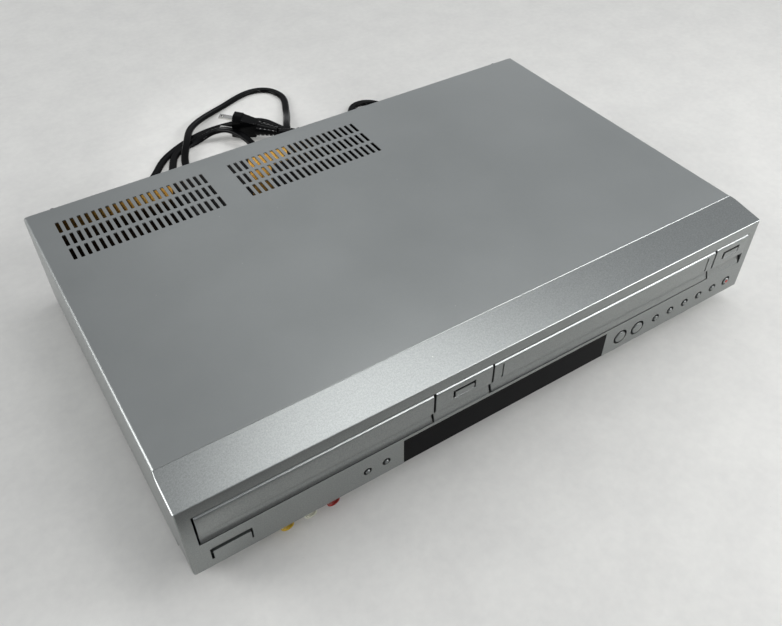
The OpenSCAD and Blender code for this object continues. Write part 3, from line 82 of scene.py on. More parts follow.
def spread(tree, value, low, high, to_low=0.0, to_high=1.0):
    """Maps what lies between two limits on to the whole of another range, and clamps the rest."""
    node = tree.nodes.new("ShaderNodeMapRange")
    for label, number in zip(("From Min", "From Max", "To Min", "To Max"), (low, high, to_low, to_high)):
        node.inputs[label].default_value = number
    tree.links.new(value, node.inputs["Value"])
    return node.outputs["Result"]


def blended(tree, factor, first, second):
    """The first colour where the factor is 0 and the second where it is 1."""
    node = tree.nodes.new("ShaderNodeMix")
    node.data_type = "RGBA"
    for socket, value in zip((node.inputs[0], node.inputs[6], node.inputs[7]), (factor, first, second)):
        if isinstance(value, bpy.types.NodeSocket):
            tree.links.new(value, socket)
        else:
            socket.default_value = value
    return node.outputs[2]


def counted(tree, operation, first, second):
    node = tree.nodes.new("ShaderNodeMath")
    node.operation = operation
    for socket, value in zip(node.inputs, (first, second)):
        if isinstance(value, bpy.types.NodeSocket):
            tree.links.new(value, socket)
        else:
            socket.default_value = value
    return node.outputs[0]


# Mottled tone: broad cloudiness with a fine grain over it; the stretch draws both out into lines
mottle, told, given = group_tree(
    "Mottled tone",
    [("Light", "Color", (1, 1, 1, 1)), ("Dark", "Color", (0, 0, 0, 1)), ("Stretch", "Vector", (1, 1, 1)),
     ("Cloud Size", "Float", 20), ("Grain Size", "Float", 900)],
    [("Colour", "Color"), ("Cloud", "Float"), ("Grain", "Float")])
place = mottle.nodes.new("ShaderNodeTexCoord").outputs["Object"]
drawn_out = mottle.nodes.new("ShaderNodeVectorMath")
drawn_out.operation = "MULTIPLY"
mottle.links.new(place, drawn_out.inputs[0])
mottle.links.new(told["Stretch"], drawn_out.inputs[1])
cloud = noise(mottle, drawn_out.outputs[0], told["Cloud Size"], 4)
grain = noise(mottle, drawn_out.outputs[0], told["Grain Size"], 2)
CLOUD_SHARE, GRAIN_SHARE = 0.6, 0.4
DARKEST, LIGHTEST = 0.36, 0.64
share = counted(mottle, "ADD", counted(mottle, "MULTIPLY", cloud, CLOUD_SHARE),
                counted(mottle, "MULTIPLY", grain, GRAIN_SHARE))
lightness = spread(mottle, share, DARKEST, LIGHTEST)
mottle.links.new(blended(mottle, lightness, told["Dark"], told["Light"]), given["Colour"])
mottle.links.new(cloud, given["Cloud"])
mottle.links.new(grain, given["Grain"])

# Settled dust: scattered small specks and a thin film on what faces up
STEEP, LEVEL = 0.4, 0.95
SPECK_RIM, SPECK_CORE = 0.1, 0.06
LAST_BARE, FIRST_SPECKED = 0.985, 0.99
FILM_THIN, FILM_FULL = 0.35, 0.75
dusting, told, given = group_tree(
    "Settled dust",
    [("Colour", "Color", (1, 1, 1, 1)), ("Dust", "Color", (0.6, 0.6, 0.57, 1)), ("Film", "Float", 0.05),
     ("Speck Size", "Float", 260)],
    [("Colour", "Color")])
place = dusting.nodes.new("ShaderNodeTexCoord").outputs["Object"]
facing = dusting.nodes.new("ShaderNodeSeparateXYZ")
dusting.links.new(dusting.nodes.new("ShaderNodeNewGeometry").outputs["Normal"], facing.inputs[0])
lying = spread(dusting, facing.outputs["Z"], STEEP, LEVEL)
cells = dusting.nodes.new("ShaderNodeTexVoronoi")
dusting.links.new(place, cells.inputs["Vector"])
dusting.links.new(told["Speck Size"], cells.inputs["Scale"])
chosen = dusting.nodes.new("ShaderNodeSeparateColor")
dusting.links.new(cells.outputs["Color"], chosen.inputs[0])
speck = counted(dusting, "MULTIPLY",
                spread(dusting, cells.outputs["Distance"], SPECK_RIM, SPECK_CORE),
                spread(dusting, chosen.outputs[0], LAST_BARE, FIRST_SPECKED))
film = noise(dusting, place, told["Speck Size"], 3)
film = counted(dusting, "MULTIPLY", spread(dusting, film, FILM_THIN, FILM_FULL), told["Film"])
mask = counted(dusting, "MULTIPLY", counted(dusting, "MAXIMUM", speck, film), lying)
dusting.links.new(blended(dusting, mask, told["Colour"], told["Dust"]), given["Colour"])

CLOUD_LOW, CLOUD_HIGH = 0.3, 0.7
COAT_ROUGHNESS = 0.08


def finish(name, light, dark, rough, metal=0.0, coat=0.0, cloud_size=20.0, grain_size=900.0,
           stretch=(1, 1, 1), relief=0.15, depth=0.0002, film=0.03, shine=0.5):
    """A surface of two close tones with its own grain, gloss and dust."""
    material = bpy.data.materials.new(name)
    material.use_nodes = True
    tree = material.node_tree
    shader = tree.nodes["Principled BSDF"]
    tone = tree.nodes.new("ShaderNodeGroup")
    tone.node_tree = mottle
    tone.inputs["Light"].default_value = (*light, 1)
    tone.inputs["Dark"].default_value = (*dark, 1)
    tone.inputs["Stretch"].default_value = stretch
    tone.inputs["Cloud Size"].default_value = cloud_size
    tone.inputs["Grain Size"].default_value = grain_size
    dust = tree.nodes.new("ShaderNodeGroup")
    dust.node_tree = dusting
    dust.inputs["Film"].default_value = film
    tree.links.new(tone.outputs["Colour"], dust.inputs["Colour"])
    tree.links.new(dust.outputs["Colour"], shader.inputs["Base Color"])
    roughness = spread(tree, tone.outputs["Cloud"], CLOUD_LOW, CLOUD_HIGH, *rough)
    tree.links.new(roughness, shader.inputs["Roughness"])
    bump = tree.nodes.new("ShaderNodeBump")
    bump.inputs["Strength"].default_value = relief
    bump.inputs["Distance"].default_value = depth
    tree.links.new(tone.outputs["Grain"], bump.inputs["Height"])
    tree.links.new(bump.outputs["Normal"], shader.inputs["Normal"])
    shader.inputs["Metallic"].default_value = metal
    shader.inputs["Specular IOR Level"].default_value = shine
    shader.inputs["Coat Weight"].default_value = coat
    shader.inputs["Coat Roughness"].default_value = COAT_ROUGHNESS
    return material


def dressed(nodes, material):
    """Gives the CAD nodes that are shown as they are their own finish."""
    for node in nodes:
        mesh = frame["nodes"][node].data
        if not mesh.materials:
            mesh.materials.append(material)
        for slot in frame["nodes"][node].material_slots:
            slot.material = material


zinc = finish("zinc-plated steel", (0.52, 0.53, 0.54), (0.45, 0.46, 0.475), (0.32, 0.42), metal=0.85,
              cloud_size=70, grain_size=500, stretch=(1, 0.25, 1), relief=0.03, film=0.03)
dressed(["base_pan"], zinc)


# Feet: moulded rubber pads with a domed edge. Each has a stud with a thicker head, which is pushed
# up through a hole in the base and holds there.
body_of = {node: body for body, nodes in frame["record"]["behaviour"]["bodies"].items()
           for node in nodes}


def placed_piece(name, mesh, material, node, stands=True):
    """Puts a mesh in the scene on its CAD node's body, in place of the node if it stands for it."""
    piece = bpy.data.objects.new(name.replace(" ", "-"), mesh)
    mesh.materials.clear()
    mesh.materials.append(material)
    scene.collection.objects.link(piece)
    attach(piece, body_of[node])
    if stands:
        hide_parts(node)
    return piece


ON_AXIS = 0.0000001
TURNED_CREASE = radians(38)


def turned(name, outline, centres, axis, material, node, sides=48, stands=True):
    """A turned shape: (radius, reach) points spun about an axis through each centre."""
    work = bmesh.new()
    for centre in centres:
        rings = []
        for radius, reach in outline:
            ring = []
            for k in range(sides if radius > ON_AXIS else 1):
                turn = 2 * pi * k / sides
                first, second = radius * cos(turn), radius * sin(turn)
                offset = (first, second, reach) if axis == "z" else (first, reach, -second)
                ring.append(work.verts.new(Vector(centre) + Vector(offset)))
            rings.append(ring)
        for low, high in zip(rings, rings[1:]):
            for k in range(sides):
                quad = [low[k % len(low)], low[(k + 1) % len(low)],
                        high[(k + 1) % len(high)], high[k % len(high)]]
                work.faces.new([v for n, v in enumerate(quad) if v not in quad[:n]])
        for ring, order in ((rings[0], -1), (rings[-1], 1)):
            if len(ring) > 1:
                work.faces.new(ring[::order])
    bmesh.ops.recalc_face_normals(work, faces=work.faces)
    for face in work.faces:
        face.smooth = True
    mesh = bpy.data.meshes.new(name)
    work.to_mesh(mesh)
    work.free()
    mesh.set_sharp_from_angle(angle=TURNED_CREASE)
    return placed_piece(name, mesh, material, node, stands)


def spot(x, y, z):
    """A place given from the casing's left end, the bezel's face and the floor, in millimetres."""
    return Vector(((x - 215) / 1000, (y - 142) / 1000, z / 1000))


def mm(*pairs):
    """Pairs of millimetres as pairs of metres."""
    return [(a / 1000, b / 1000) for a, b in pairs]


rubber = finish("moulded rubber", (0.022, 0.022, 0.023), (0.012, 0.012, 0.013), (0.55, 0.75),
                cloud_size=90, grain_size=1200, relief=0.2, film=0.06)
pad = mm((0, 0.3), (6.4, 0.3), (6.8, 0), (10.6, 0), (11.4, 0.3), (11.9, 1), (11.6, 2.4), (10.9, 5))
stud = mm((2, 5), (2, 5.8), (3.2, 5.8), (3.2, 7.1), (2.8, 7.3), (0, 7.3))
standing = [spot(x, y, 0) for x in (40, 390) for y in (52, 241)]
turned("rubber feet", pad + stud, standing, "z", rubber, "feet")

# Rear panel: zinc-plated sheet with the sockets' and the cord's openings, folded edges hidden under the
# cover, and its inner side painted near black as painted shade.
SAME_POINT = 0.000002
FLAT, SHARP = radians(0.5), radians(32)
WIDTHS_LONG = 4


def softened(node, name, width, material, segments=2, crease=50, planed=()):
    """The node's own shape with its long sharp edges rounded off, or planed off along given planes."""
    work = bmesh.new()
    work.from_mesh(frame["nodes"][node].data)
    bmesh.ops.remove_doubles(work, verts=work.verts, dist=SAME_POINT)
    bmesh.ops.dissolve_limit(work, angle_limit=FLAT, verts=work.verts, edges=work.edges)
    if not planed:
        edges = [edge for edge in work.edges
                 if len(edge.link_faces) == 2 and edge.calc_length() > WIDTHS_LONG * width
                 and edge.is_convex and edge.calc_face_angle() > SHARP]
        bmesh.ops.bevel(work, geom=edges, offset=width, offset_type="OFFSET", segments=segments,
                        profile=0.5, affect="EDGES", clamp_overlap=False)
    for edge_point, outward in planed:
        cut = bmesh.ops.bisect_plane(
            work, geom=work.verts[:] + work.edges[:] + work.faces[:], clear_outer=True,
            plane_co=edge_point - outward.normalized() * width, plane_no=outward)["geom_cut"]
        rim = [part for part in cut if isinstance(part, bmesh.types.BMEdge)]
        bmesh.ops.edgenet_fill(work, edges=rim)
    bmesh.ops.recalc_face_normals(work, faces=work.faces)
    work.verts.index_update()
    mesh = bpy.data.meshes.new(name)
    mesh.from_pydata([v.co[:] for v in work.verts], [],
                     [[v.index for v in face.verts] for face in work.faces])
    mesh.polygons.foreach_set("use_smooth", [True] * len(mesh.polygons))
    work.free()
    piece = placed_piece(name, mesh, material, node)
    mesh.set_sharp_from_angle(angle=radians(crease))
    piece.modifiers.new("even shading", "WEIGHTED_NORMAL").keep_sharp = True
    return piece


def backed(piece, material, hidden):
    """Gives the piece's faces that lie hidden a second material; in this script that is always the
    near-black painted shade.
    """
    piece.data.materials.append(material)
    for face in piece.data.polygons:
        if hidden(face):
            face.material_index = 1


# Painted shade: a near-black material for hidden faces that lie in shade
painted_shade = finish("dull inner side", (0.03, 0.03, 0.03), (0.02, 0.02, 0.02), (0.5, 0.6), cloud_size=60,
                grain_size=900, relief=0.1, film=0.01)
rear_panel = softened("rear_panel", "rear panel", 0.00015, zinc)
backed(rear_panel, painted_shade, lambda face: face.normal.y < -0.5)

# Mains cord: two cores side by side in one soft black vinyl jacket, left in loose loops behind
# the casing. It is drawn as one tube, with the dip between its cores, along the route it lies in.
route = [Vector(point) / 1000 for point in (
    (-183, 162.2, 24), (-183, 186, 19), (-173, 213, 6), (-142, 231, 2), (-104, 239, 2), (-74, 270, 2),
    (-36, 289, 2), (0, 291, 2), (28, 281, 2), (42, 252, 2), (68, 227, 2), (99, 232, 2), (123, 256, 2),
    (145, 239, 2), (140, 207, 2), (104, 194, 2), (60, 196, 2), (33, 218, 2.4), (41, 248, 6),
    (57, 282, 2), (67, 316, 2), (48, 338, 2), (8, 327, 2), (-32, 304, 5.4), (-50, 277, 6.4),
    (-64, 246, 3), (-64, 208, 2), (-90, 182, 2), (-114, 206, 2), (-83, 237, 2), (-65, 269, 2),
    (-40, 279, 2.6), (-21, 276, 9), (-9, 261, 13), (-1, 236, 9), (-4, 206, 3), (24, 185, 2),
    (48, 206, 6), (42, 231, 9.2), (28.5, 243.5, 9))]
CORD_W, CORD_T = 0.007, 0.0038
OFF_FLOOR = 0.00005
STEPS = 8
JACKET_SIDES = 20
DIP_SHARE, DIP_HALF_W = 0.34, 0.0009


def tangent(i):
    """The way the route runs at its point i, longer where it bends, so that the bend stays round."""
    if i in (0, len(route) - 1):
        j = min(i, len(route) - 2)
        return route[j + 1] - route[j]
    before, after = route[i] - route[i - 1], route[i + 1] - route[i]
    bend = acos(min(1, before.dot(after) / before.length / after.length))
    return (route[i + 1] - route[i - 1]) / 2 * (bend / sin(bend) if bend > radians(1) else 1)


def along_route(i, t):
    """A place between the route's points i and i + 1, kept just off the floor."""
    point = ((2 * t ** 3 - 3 * t * t + 1) * route[i] + (t ** 3 - 2 * t * t + t) * tangent(i)
             + (3 * t * t - 2 * t ** 3) * route[i + 1] + (t ** 3 - t * t) * tangent(i + 1))
    point.z = max(point.z, CORD_T / 2 + OFF_FLOOR)
    return point


centre_line = [along_route(i, k / STEPS) for i in range(len(route) - 1) for k in range(STEPS)]
centre_line.append(route[-1])
core_r = CORD_T / 2
jacket = []
for k in range(JACKET_SIDES):
    turn = 2 * pi * (k + 0.5) / JACKET_SIDES
    across = cos(turn) * CORD_W / 2
    past_core = max(0, abs(across) - (CORD_W / 2 - core_r))
    dip = 1 - DIP_SHARE * max(0, 1 - abs(across) / DIP_HALF_W)
    rise = sqrt(max(0, core_r ** 2 - past_core ** 2)) * dip
    jacket.append((across, rise if sin(turn) > 0 else -rise))
cord_mesh = bpy.data.meshes.new("mains cord")
corners, faces = [], []
for i, point in enumerate(centre_line):
    run = (centre_line[min(i + 1, len(centre_line) - 1)] - centre_line[max(i - 1, 0)]).normalized()
    side = Vector((0, 0, 1)).cross(run).normalized()
    top = run.cross(side)
    corners += [point + side * across + top * rise for across, rise in jacket]
    if i:
        new, old = i * JACKET_SIDES, (i - 1) * JACKET_SIDES
        for k in range(JACKET_SIDES):
            beside = (k + 1) % JACKET_SIDES
            faces.append((old + k, old + beside, new + beside, new + k))
first_end = range(JACKET_SIDES)
last_end = range(len(corners) - JACKET_SIDES, len(corners))
faces += [tuple(reversed(first_end)), tuple(last_end)]
cord_mesh.from_pydata(corners, [], faces)
cord_mesh.polygons.foreach_set("use_smooth", [True] * len(faces))
soft_vinyl = finish("soft black vinyl", (0.002, 0.002, 0.0022), (0.001, 0.001, 0.0012), (0.16, 0.2),
                    cloud_size=60, grain_size=1500, relief=0.03, film=0.001, shine=0.1)
cord = placed_piece("mains cord", cord_mesh, soft_vinyl, "mains_cord")

# Strain relief: a soft vinyl boot moulded on the cord, held by a collar in the rear panel, with
# ring ribs along it that let it bend.
softened("strain_relief", "cord boot", 0.0003, soft_vinyl)

# Plug: a moulded vinyl grip with a ribbed tail and two flat nickel-plated blades with a hole each.
# The vinyl is the same as the cord's, moulded over the blades' roots.
nickel = finish("nickel plate", (0.75, 0.74, 0.7), (0.62, 0.61, 0.58), (0.14, 0.26), metal=1.0,
                cloud_size=120, grain_size=2500, relief=0.04, film=0.0)
plug = softened("plug", "plug body", 0.0006, soft_vinyl, segments=3)
blades = softened("plug_blades", "plug blades", 0.00015, nickel)

# Circuit boards: brown paper-phenolic for supply and front, orange where it carries the rear
# sockets, and green glass-epoxy for the signal board, whose tracks show as faint streaks.
phenolic = finish("brown phenolic board", (0.42, 0.21, 0.075), (0.31, 0.14, 0.045), (0.38, 0.52),
                  cloud_size=45, grain_size=700, relief=0.1, film=0.05)
orange = finish("orange phenolic board", (1, 0.6, 0.14), (0.95, 0.47, 0.09), (0.38, 0.5),
                cloud_size=45, grain_size=700, relief=0.1, film=0.02)
green = finish("green epoxy board", (0.035, 0.13, 0.06), (0.018, 0.075, 0.034), (0.28, 0.42), coat=0.3,
               cloud_size=150, grain_size=900, stretch=(1, 0.12, 1), relief=0.1, film=0.05)
dressed(["front_board", "power_board"], phenolic)
# Painted shade: near black is painted over the boards' lower part and, all but a top strip, over the
# part beside the supply, where the light through the air slots does not reach; it fades out between
# these places, in metres
BOARD_SHADE_COLOUR = (0.012, 0.01, 0.008, 1)
SUPPLY_END_X, SUPPLY_X = (-0.08, -0.06), (-0.19, -0.09)
UPPER_PART_Z, TOP_STRIP_Z = (0.045, 0.058), (0.0575, 0.0595)
paint = orange.node_tree
bare = next(link for link in paint.links if link.to_socket.name == "Base Color")
position = paint.nodes.new("ShaderNodeSeparateXYZ")
paint.links.new(paint.nodes.new("ShaderNodeTexCoord").outputs["Object"], position.inputs[0])
beside = counted(paint, "MULTIPLY", spread(paint, position.outputs["X"], *SUPPLY_END_X, 0.02, 1),
                 spread(paint, position.outputs["Z"], *UPPER_PART_Z, 0.25, 1))
lit_top_strip = counted(paint, "MULTIPLY", spread(paint, position.outputs["Z"], *TOP_STRIP_Z),
                spread(paint, position.outputs["X"], *SUPPLY_X, 0.2, 0.8))
lit_share = counted(paint, "MAXIMUM", lit_top_strip, beside)
base_colour, bare_colour = bare.to_socket, bare.from_socket
# Painted shade: the boards' own orange shows only where they would be lit, near black elsewhere
paint.links.new(blended(paint, lit_share, BOARD_SHADE_COLOUR, bare_colour), base_colour)
dressed(["jack_boards"], orange)
dressed(["main_board"], green)

# Supply parts: a taped transformer on varnished iron laminations, and aluminium capacitors in
# their shrunk sleeves, all soldered to the supply board.
varnished = finish("varnished core", (0.3, 0.2, 0.1), (0.14, 0.1, 0.06), (0.35, 0.55), metal=0.2,
                   cloud_size=120, grain_size=1400, stretch=(0.2, 1, 1), relief=0.3, film=0.04)
sleeve = finish("shrunk sleeve", (0.016, 0.017, 0.021), (0.009, 0.009, 0.012), (0.2, 0.32), coat=0.4,
                cloud_size=90, grain_size=1500, relief=0.05, film=0.05)
dressed(["transformer"], varnished)
dressed(["capacitors"], sleeve)

# Tuner: a folded can of tinned steel soldered to the signal board, with its two threaded aerial sockets
# through the rear panel. What lies inside the panel is painted near black as painted shade.
INSIDE_PANEL_Y = 0.129
tinned = finish("tinned steel can", (0.6, 0.6, 0.58), (0.48, 0.48, 0.47), (0.28, 0.4), metal=0.9,
                cloud_size=80, grain_size=700, relief=0.06, film=0.03)
tuner = softened("tuner", "tuner can", 0.0002, tinned)
backed(tuner, painted_shade, lambda face: face.center.y < INSIDE_PANEL_Y)

# Display tube: a thin sealed glass envelope behind the window, standing on its row of legs in the
# front board.
tube_glass = finish("display tube glass", (0.03, 0.045, 0.05), (0.018, 0.028, 0.03), (0.06, 0.12),
                    coat=0.6, cloud_size=60, grain_size=900, relief=0.02, film=0.0)
dressed(["display_tube"], tube_glass)

# Disc loader: dark moulded frame and tray on a nylon pinion, with the traverse under it that
# carries motor, turntable and pickup, and the clamp's puck in its steel bridge over it.
moulding = finish("dark moulding", (0.03, 0.03, 0.032), (0.02, 0.02, 0.022), (0.42, 0.56),
                  cloud_size=80, grain_size=1600, relief=0.15, film=0.04)
tray_plastic = finish("tray plastic", (0.045, 0.045, 0.048), (0.034, 0.034, 0.037), (0.34, 0.46),
                      cloud_size=60, grain_size=1800, relief=0.2, film=0.02)
nylon = finish("ivory nylon", (0.78, 0.72, 0.58), (0.7, 0.63, 0.49), (0.35, 0.48),
               cloud_size=100, grain_size=900, relief=0.05, film=0.02)
cast = finish("die casting", (0.42, 0.43, 0.44), (0.33, 0.34, 0.35), (0.36, 0.5), metal=0.9,
              cloud_size=150, grain_size=1600, relief=0.3, film=0.02)
dressed(["loader_frame", "traverse", "clamp_puck"], moulding)
softened("disc_tray", "disc tray", 0.0003, tray_plastic)
dressed(["turntable"], rubber)
dressed(["tray_pinion", "carriage_slider"], nylon)
dressed(["clamp_bridge"], zinc)
dressed(["pickup"], cast)

# Cassette deck: pressed chassis with the carriage's side plates, the holder, reels, pole bases,
# pinch roller, capstan and the tilted head drum, its upper half turned bright.
turned_alloy = finish("turned alloy", (0.78, 0.79, 0.8), (0.66, 0.67, 0.69), (0.1, 0.2), metal=1.0,
                      cloud_size=90, grain_size=2600, stretch=(0.15, 0.15, 3), relief=0.05, film=0.0)
dressed(["deck_chassis", "carriage_frame", "cassette_holder", "pinch_arm"], zinc)
dressed(["drum_base", "left_pole_base", "right_pole_base"], cast)
dressed(["head_drum", "capstan"], turned_alloy)
dressed(["supply_reel", "takeup_reel"], moulding)
dressed(["pinch_roller"], rubber)

# Phono sockets: coloured moulded barrels with a nickel sleeve and a centre contact, three under
# the face and six on the back.
FIRST_SOCKET_X, SOCKET_PITCH, SOCKET_Z = 57.3, 15.1, 9.9
PIN_R, BORE_R = 1.3, 3.39
INSULATOR_FRONT, INSULATOR_BACK = 4.2, 6
barrels = {"yellow_jacks": ("yellow", (0.5, 0.33, 0.015), (0.42, 0.27, 0.01)),
           "white_jacks": ("white", (0.6, 0.6, 0.5), (0.5, 0.5, 0.42)),
           "red_jacks": ("red", (0.3, 0.014, 0.01), (0.22, 0.009, 0.007))}
insulator = mm((PIN_R, INSULATOR_FRONT), (BORE_R, INSULATOR_FRONT), (BORE_R, INSULATOR_BACK),
               (PIN_R, INSULATOR_BACK))
for index, (node, (colour, light, dark)) in enumerate(barrels.items()):
    plastic = finish(colour + " barrel", light, dark, (0.28, 0.38), cloud_size=120, grain_size=1500,
                     relief=0.05, film=0.01, shine=0.25)
    softened(node, colour + " sockets", 0.00025, plastic)
    centre = spot(FIRST_SOCKET_X + SOCKET_PITCH * index, 0, SOCKET_Z)
    turned(colour + " insulator", insulator, [centre], "y", plastic, node, sides=40, stands=False)
dressed(["jack_contacts"], nickel)


# Top cover: one sheet of lacquered steel folded down at the sides and the back, with two groups of
# punched air slots over the supply and the sockets. The slots are cut from one slot set out in rows.
# In metres:
SHEET, BROW = 0.0008, 0.0003
COVER_HALF_W, COVER_TOP, COVER_LOW, BEND_R, BEND_STEPS = 0.215, 0.079, 0.006, 0.0025, 6
VENTS = {"Across": 22, "Rows": 3, "Pitch": 0.00503, "Row Pitch": 0.0164, "Width": 0.0026,
         "Length": 0.0131}
SLOT_CORNER, CUT_DEPTH, WELD = 0.0006, 0.004, 0.000001
COVER_CREASE = radians(30)
# In millimetres from the casing's left end, the bezel's face and the floor:
COVER_FRONT, COVER_BACK = 27.3, 275
VENT_FIRST_X, VENT_FRONT_Y, CUT_FROM_Z = (18, 146.2), 218.2, 77


def sheet_outline(inset):
    """The folded sheet seen from the front, drawn in by an inset from its outer face."""
    high, half, radius = COVER_TOP - inset, COVER_HALF_W - inset, BEND_R - inset
    line = [(-half, COVER_LOW)]
    for centre, start in ((-half + radius, pi), (half - radius, pi / 2)):
        for k in range(BEND_STEPS + 1):
            turn = start - pi / 2 * k / BEND_STEPS
            line.append((centre + radius * cos(turn), high - radius + radius * sin(turn)))
    return line + [(half, COVER_LOW)]


def slot_cutter():
    """Cuts rows of slots: the first one's centre, their numbers, steps and size are its inputs."""
    tree = bpy.data.node_groups.new("air slots", "GeometryNodeTree")
    asked = {"Sheet": "Geometry", "First": "Vector", "Across": "Int", "Rows": "Int", "Pitch": "Float",
             "Row Pitch": "Float", "Width": "Float", "Length": "Float", "Finish": "Material"}
    for label, kind in asked.items():
        tree.interface.new_socket(label, in_out="INPUT", socket_type="NodeSocket" + kind)
    tree.interface.new_socket("Sheet", in_out="OUTPUT", socket_type="NodeSocketGeometry")
    told = tree.nodes.new("NodeGroupInput").outputs

    def node(kind, links, **settings):
        made = tree.nodes.new(kind)
        for key, value in settings.items():
            setattr(made, key, value)
        for socket, source in links.items():
            target = made.inputs[socket]
            if isinstance(source, bpy.types.NodeSocket):
                tree.links.new(source, target)
            else:
                target.default_value = source
        return made.outputs

    outline = node("GeometryNodeCurvePrimitiveQuadrilateral",
                   {"Width": told["Width"], "Height": told["Length"]})
    rounded = node("GeometryNodeFilletCurve", {"Curve": outline[0], "Radius": SLOT_CORNER, "Count": 3},
                   mode="POLY")
    flat = node("GeometryNodeFillCurve", {"Curve": rounded[0]}, mode="NGONS")
    raised = node("GeometryNodeExtrudeMesh",
                  {"Mesh": flat[0], "Offset Scale": CUT_DEPTH, "Individual": False})
    closed = tree.nodes.new("GeometryNodeJoinGeometry")
    tree.links.new(raised["Mesh"], closed.inputs[0])
    tree.links.new(node("GeometryNodeFlipFaces", {"Mesh": flat[0]})[0], closed.inputs[0])
    cutter = node("GeometryNodeMergeByDistance",
                  {"Geometry": closed.outputs[0], "Distance": WELD})
    step_x = node("ShaderNodeCombineXYZ", {"X": told["Pitch"]})
    step_y = node("ShaderNodeCombineXYZ", {"Y": told["Row Pitch"]})
    row = node("GeometryNodeMeshLine",
               {"Count": told["Across"], "Offset": step_x[0], "Start Location": told["First"]})
    column = node("GeometryNodeMeshLine", {"Count": told["Rows"], "Offset": step_y[0]})
    one_row = node("GeometryNodeInstanceOnPoints", {"Points": row[0], "Instance": cutter[0]})
    all_rows = node("GeometryNodeInstanceOnPoints", {"Points": column[0], "Instance": one_row[0]})
    cutters = node("GeometryNodeRealizeInstances", {"Geometry": all_rows[0]})
    cut = tree.nodes.new("GeometryNodeMeshBoolean")
    cut.operation = "DIFFERENCE"
    cut.solver = "EXACT"
    tree.links.new(told["Sheet"], cut.inputs[0])
    tree.links.new(cutters[0], cut.inputs[1])
    whole = node("GeometryNodeRealizeInstances", {"Geometry": cut.outputs[0]})
    painted = node("GeometryNodeSetMaterial", {"Geometry": whole[0], "Material": told["Finish"]})
    tree.links.new(painted[0], tree.nodes.new("NodeGroupOutput").inputs[0])
    return tree


lacquer = finish("silver lacquer", (0.393, 0.409, 0.403), (0.364, 0.38, 0.374), (0.35, 0.38), metal=0.85,
                 cloud_size=14, grain_size=2200, relief=0.1, depth=0.0001, film=0.02)
outer, inner = sheet_outline(0), sheet_outline(SHEET)
front_y, back_y = spot(0, COVER_FRONT, 0).y, spot(0, COVER_BACK, 0).y
work = bmesh.new()
bends = [[work.verts.new((x, y, z)) for x, z in line]
         for line, y in ((sheet_outline(BROW), front_y), (outer, front_y + BROW), (outer, back_y),
                         (inner, back_y), (inner, front_y))]
for first, second in zip(bends, bends[1:] + bends[:1]):
    for k in range(len(outer) - 1):
        work.faces.new((first[k], first[k + 1], second[k + 1], second[k]))
for k in (0, len(outer) - 1):
    work.faces.new([line[k] for line in bends])
bmesh.ops.recalc_face_normals(work, faces=work.faces)
cover_mesh = bpy.data.meshes.new("cover sheet")
work.to_mesh(cover_mesh)
work.free()
blank = bpy.data.objects.new("cover sheet", cover_mesh)
scene.collection.objects.link(blank)
slots = slot_cutter()
named = {socket.name: socket.identifier for socket in slots.interface.items_tree
         if socket.in_out == "INPUT"}
for x in VENT_FIRST_X:
    cutting = blank.modifiers.new("slots", "NODES")
    cutting.node_group = slots
    values = {**VENTS, "First": spot(x, VENT_FRONT_Y, CUT_FROM_Z), "Finish": lacquer}
    for label, value in values.items():
        cutting[named[label]] = value
cut_sheet = blank.evaluated_get(bpy.context.evaluated_depsgraph_get())
cut_mesh = bpy.data.meshes.new_from_object(cut_sheet)
bpy.data.objects.remove(blank)
work = bmesh.new()
work.from_mesh(cut_mesh)
# The lip folded down along the back; its holes lie hidden under the screws' heads and are left out
lip_low, lip_high = spot(0.8, 274.2, 71), spot(429.2, COVER_BACK, 78.6)
lip_size = Matrix.Diagonal((*(lip_high - lip_low), 1))
bmesh.ops.create_cube(work, size=1, matrix=Matrix.Translation((lip_low + lip_high) / 2) @ lip_size)
for face in work.faces:
    face.smooth = True
work.to_mesh(cut_mesh)
work.free()
cut_mesh.set_sharp_from_angle(angle=COVER_CREASE)
placed_piece("top cover", cut_mesh, lacquer, "top_cover")

# Cover screws: blackened steel pan heads with a cross recess, three driven through the cover's
# back lip into the rear panel.
black_steel = finish("blackened steel", (0.03, 0.03, 0.032), (0.016, 0.016, 0.018), (0.3, 0.45),
                     metal=0.6, cloud_size=200, grain_size=1500, relief=0.1, film=0.02)
softened("cover_screws", "cover screws", 0.0003, black_steel)

# Front bezel: one moulding in the same silver, raked along its top, with the window's seat, the
# buttons' holes and the set-back skirt under the face.
moulded_silver = finish("silver moulding", (0.335, 0.35, 0.345), (0.262, 0.274, 0.27), (0.28, 0.3),
                        metal=0.9, cloud_size=1000, grain_size=2000, relief=0.05, depth=0.0001,
                        film=0.006)
BEZEL_SOFTENING = 0.00035
top_edges = [(Vector((0, -0.1421, 0.07491)), Vector((0, -0.67, 0.743))),
             (Vector((-0.215, -0.1408, 0.07499)), Vector((-0.52, -0.132, 0.845))),
             (Vector((0.215, -0.1408, 0.07499)), Vector((0.52, -0.132, 0.845)))]
softened("front_bezel", "front bezel", BEZEL_SOFTENING, moulded_silver, crease=30, planed=top_edges)

# Button panels, disc door and cassette flap: thin mouldings in the bezel's silver. The panels sit
# in the bezel's band, the door rides on the tray's front and the flap hangs on its two pins.
for node in ("button_panels", "disc_door", "cassette_flap"):
    softened(node, node.replace("_", " "), 0.0003, moulded_silver)

# Display window: a plate of glossy smoked acrylic with softened edges, pressed into its seat in
# the bezel in front of the display tube.
smoked = finish("smoked acrylic", (0.0025, 0.0025, 0.003), (0.0015, 0.0015, 0.002), (0.08, 0.12),
                cloud_size=30, grain_size=900, relief=0.01, film=0.006, shine=0.05)
softened("display_window", "display window", 0.0004, smoked)

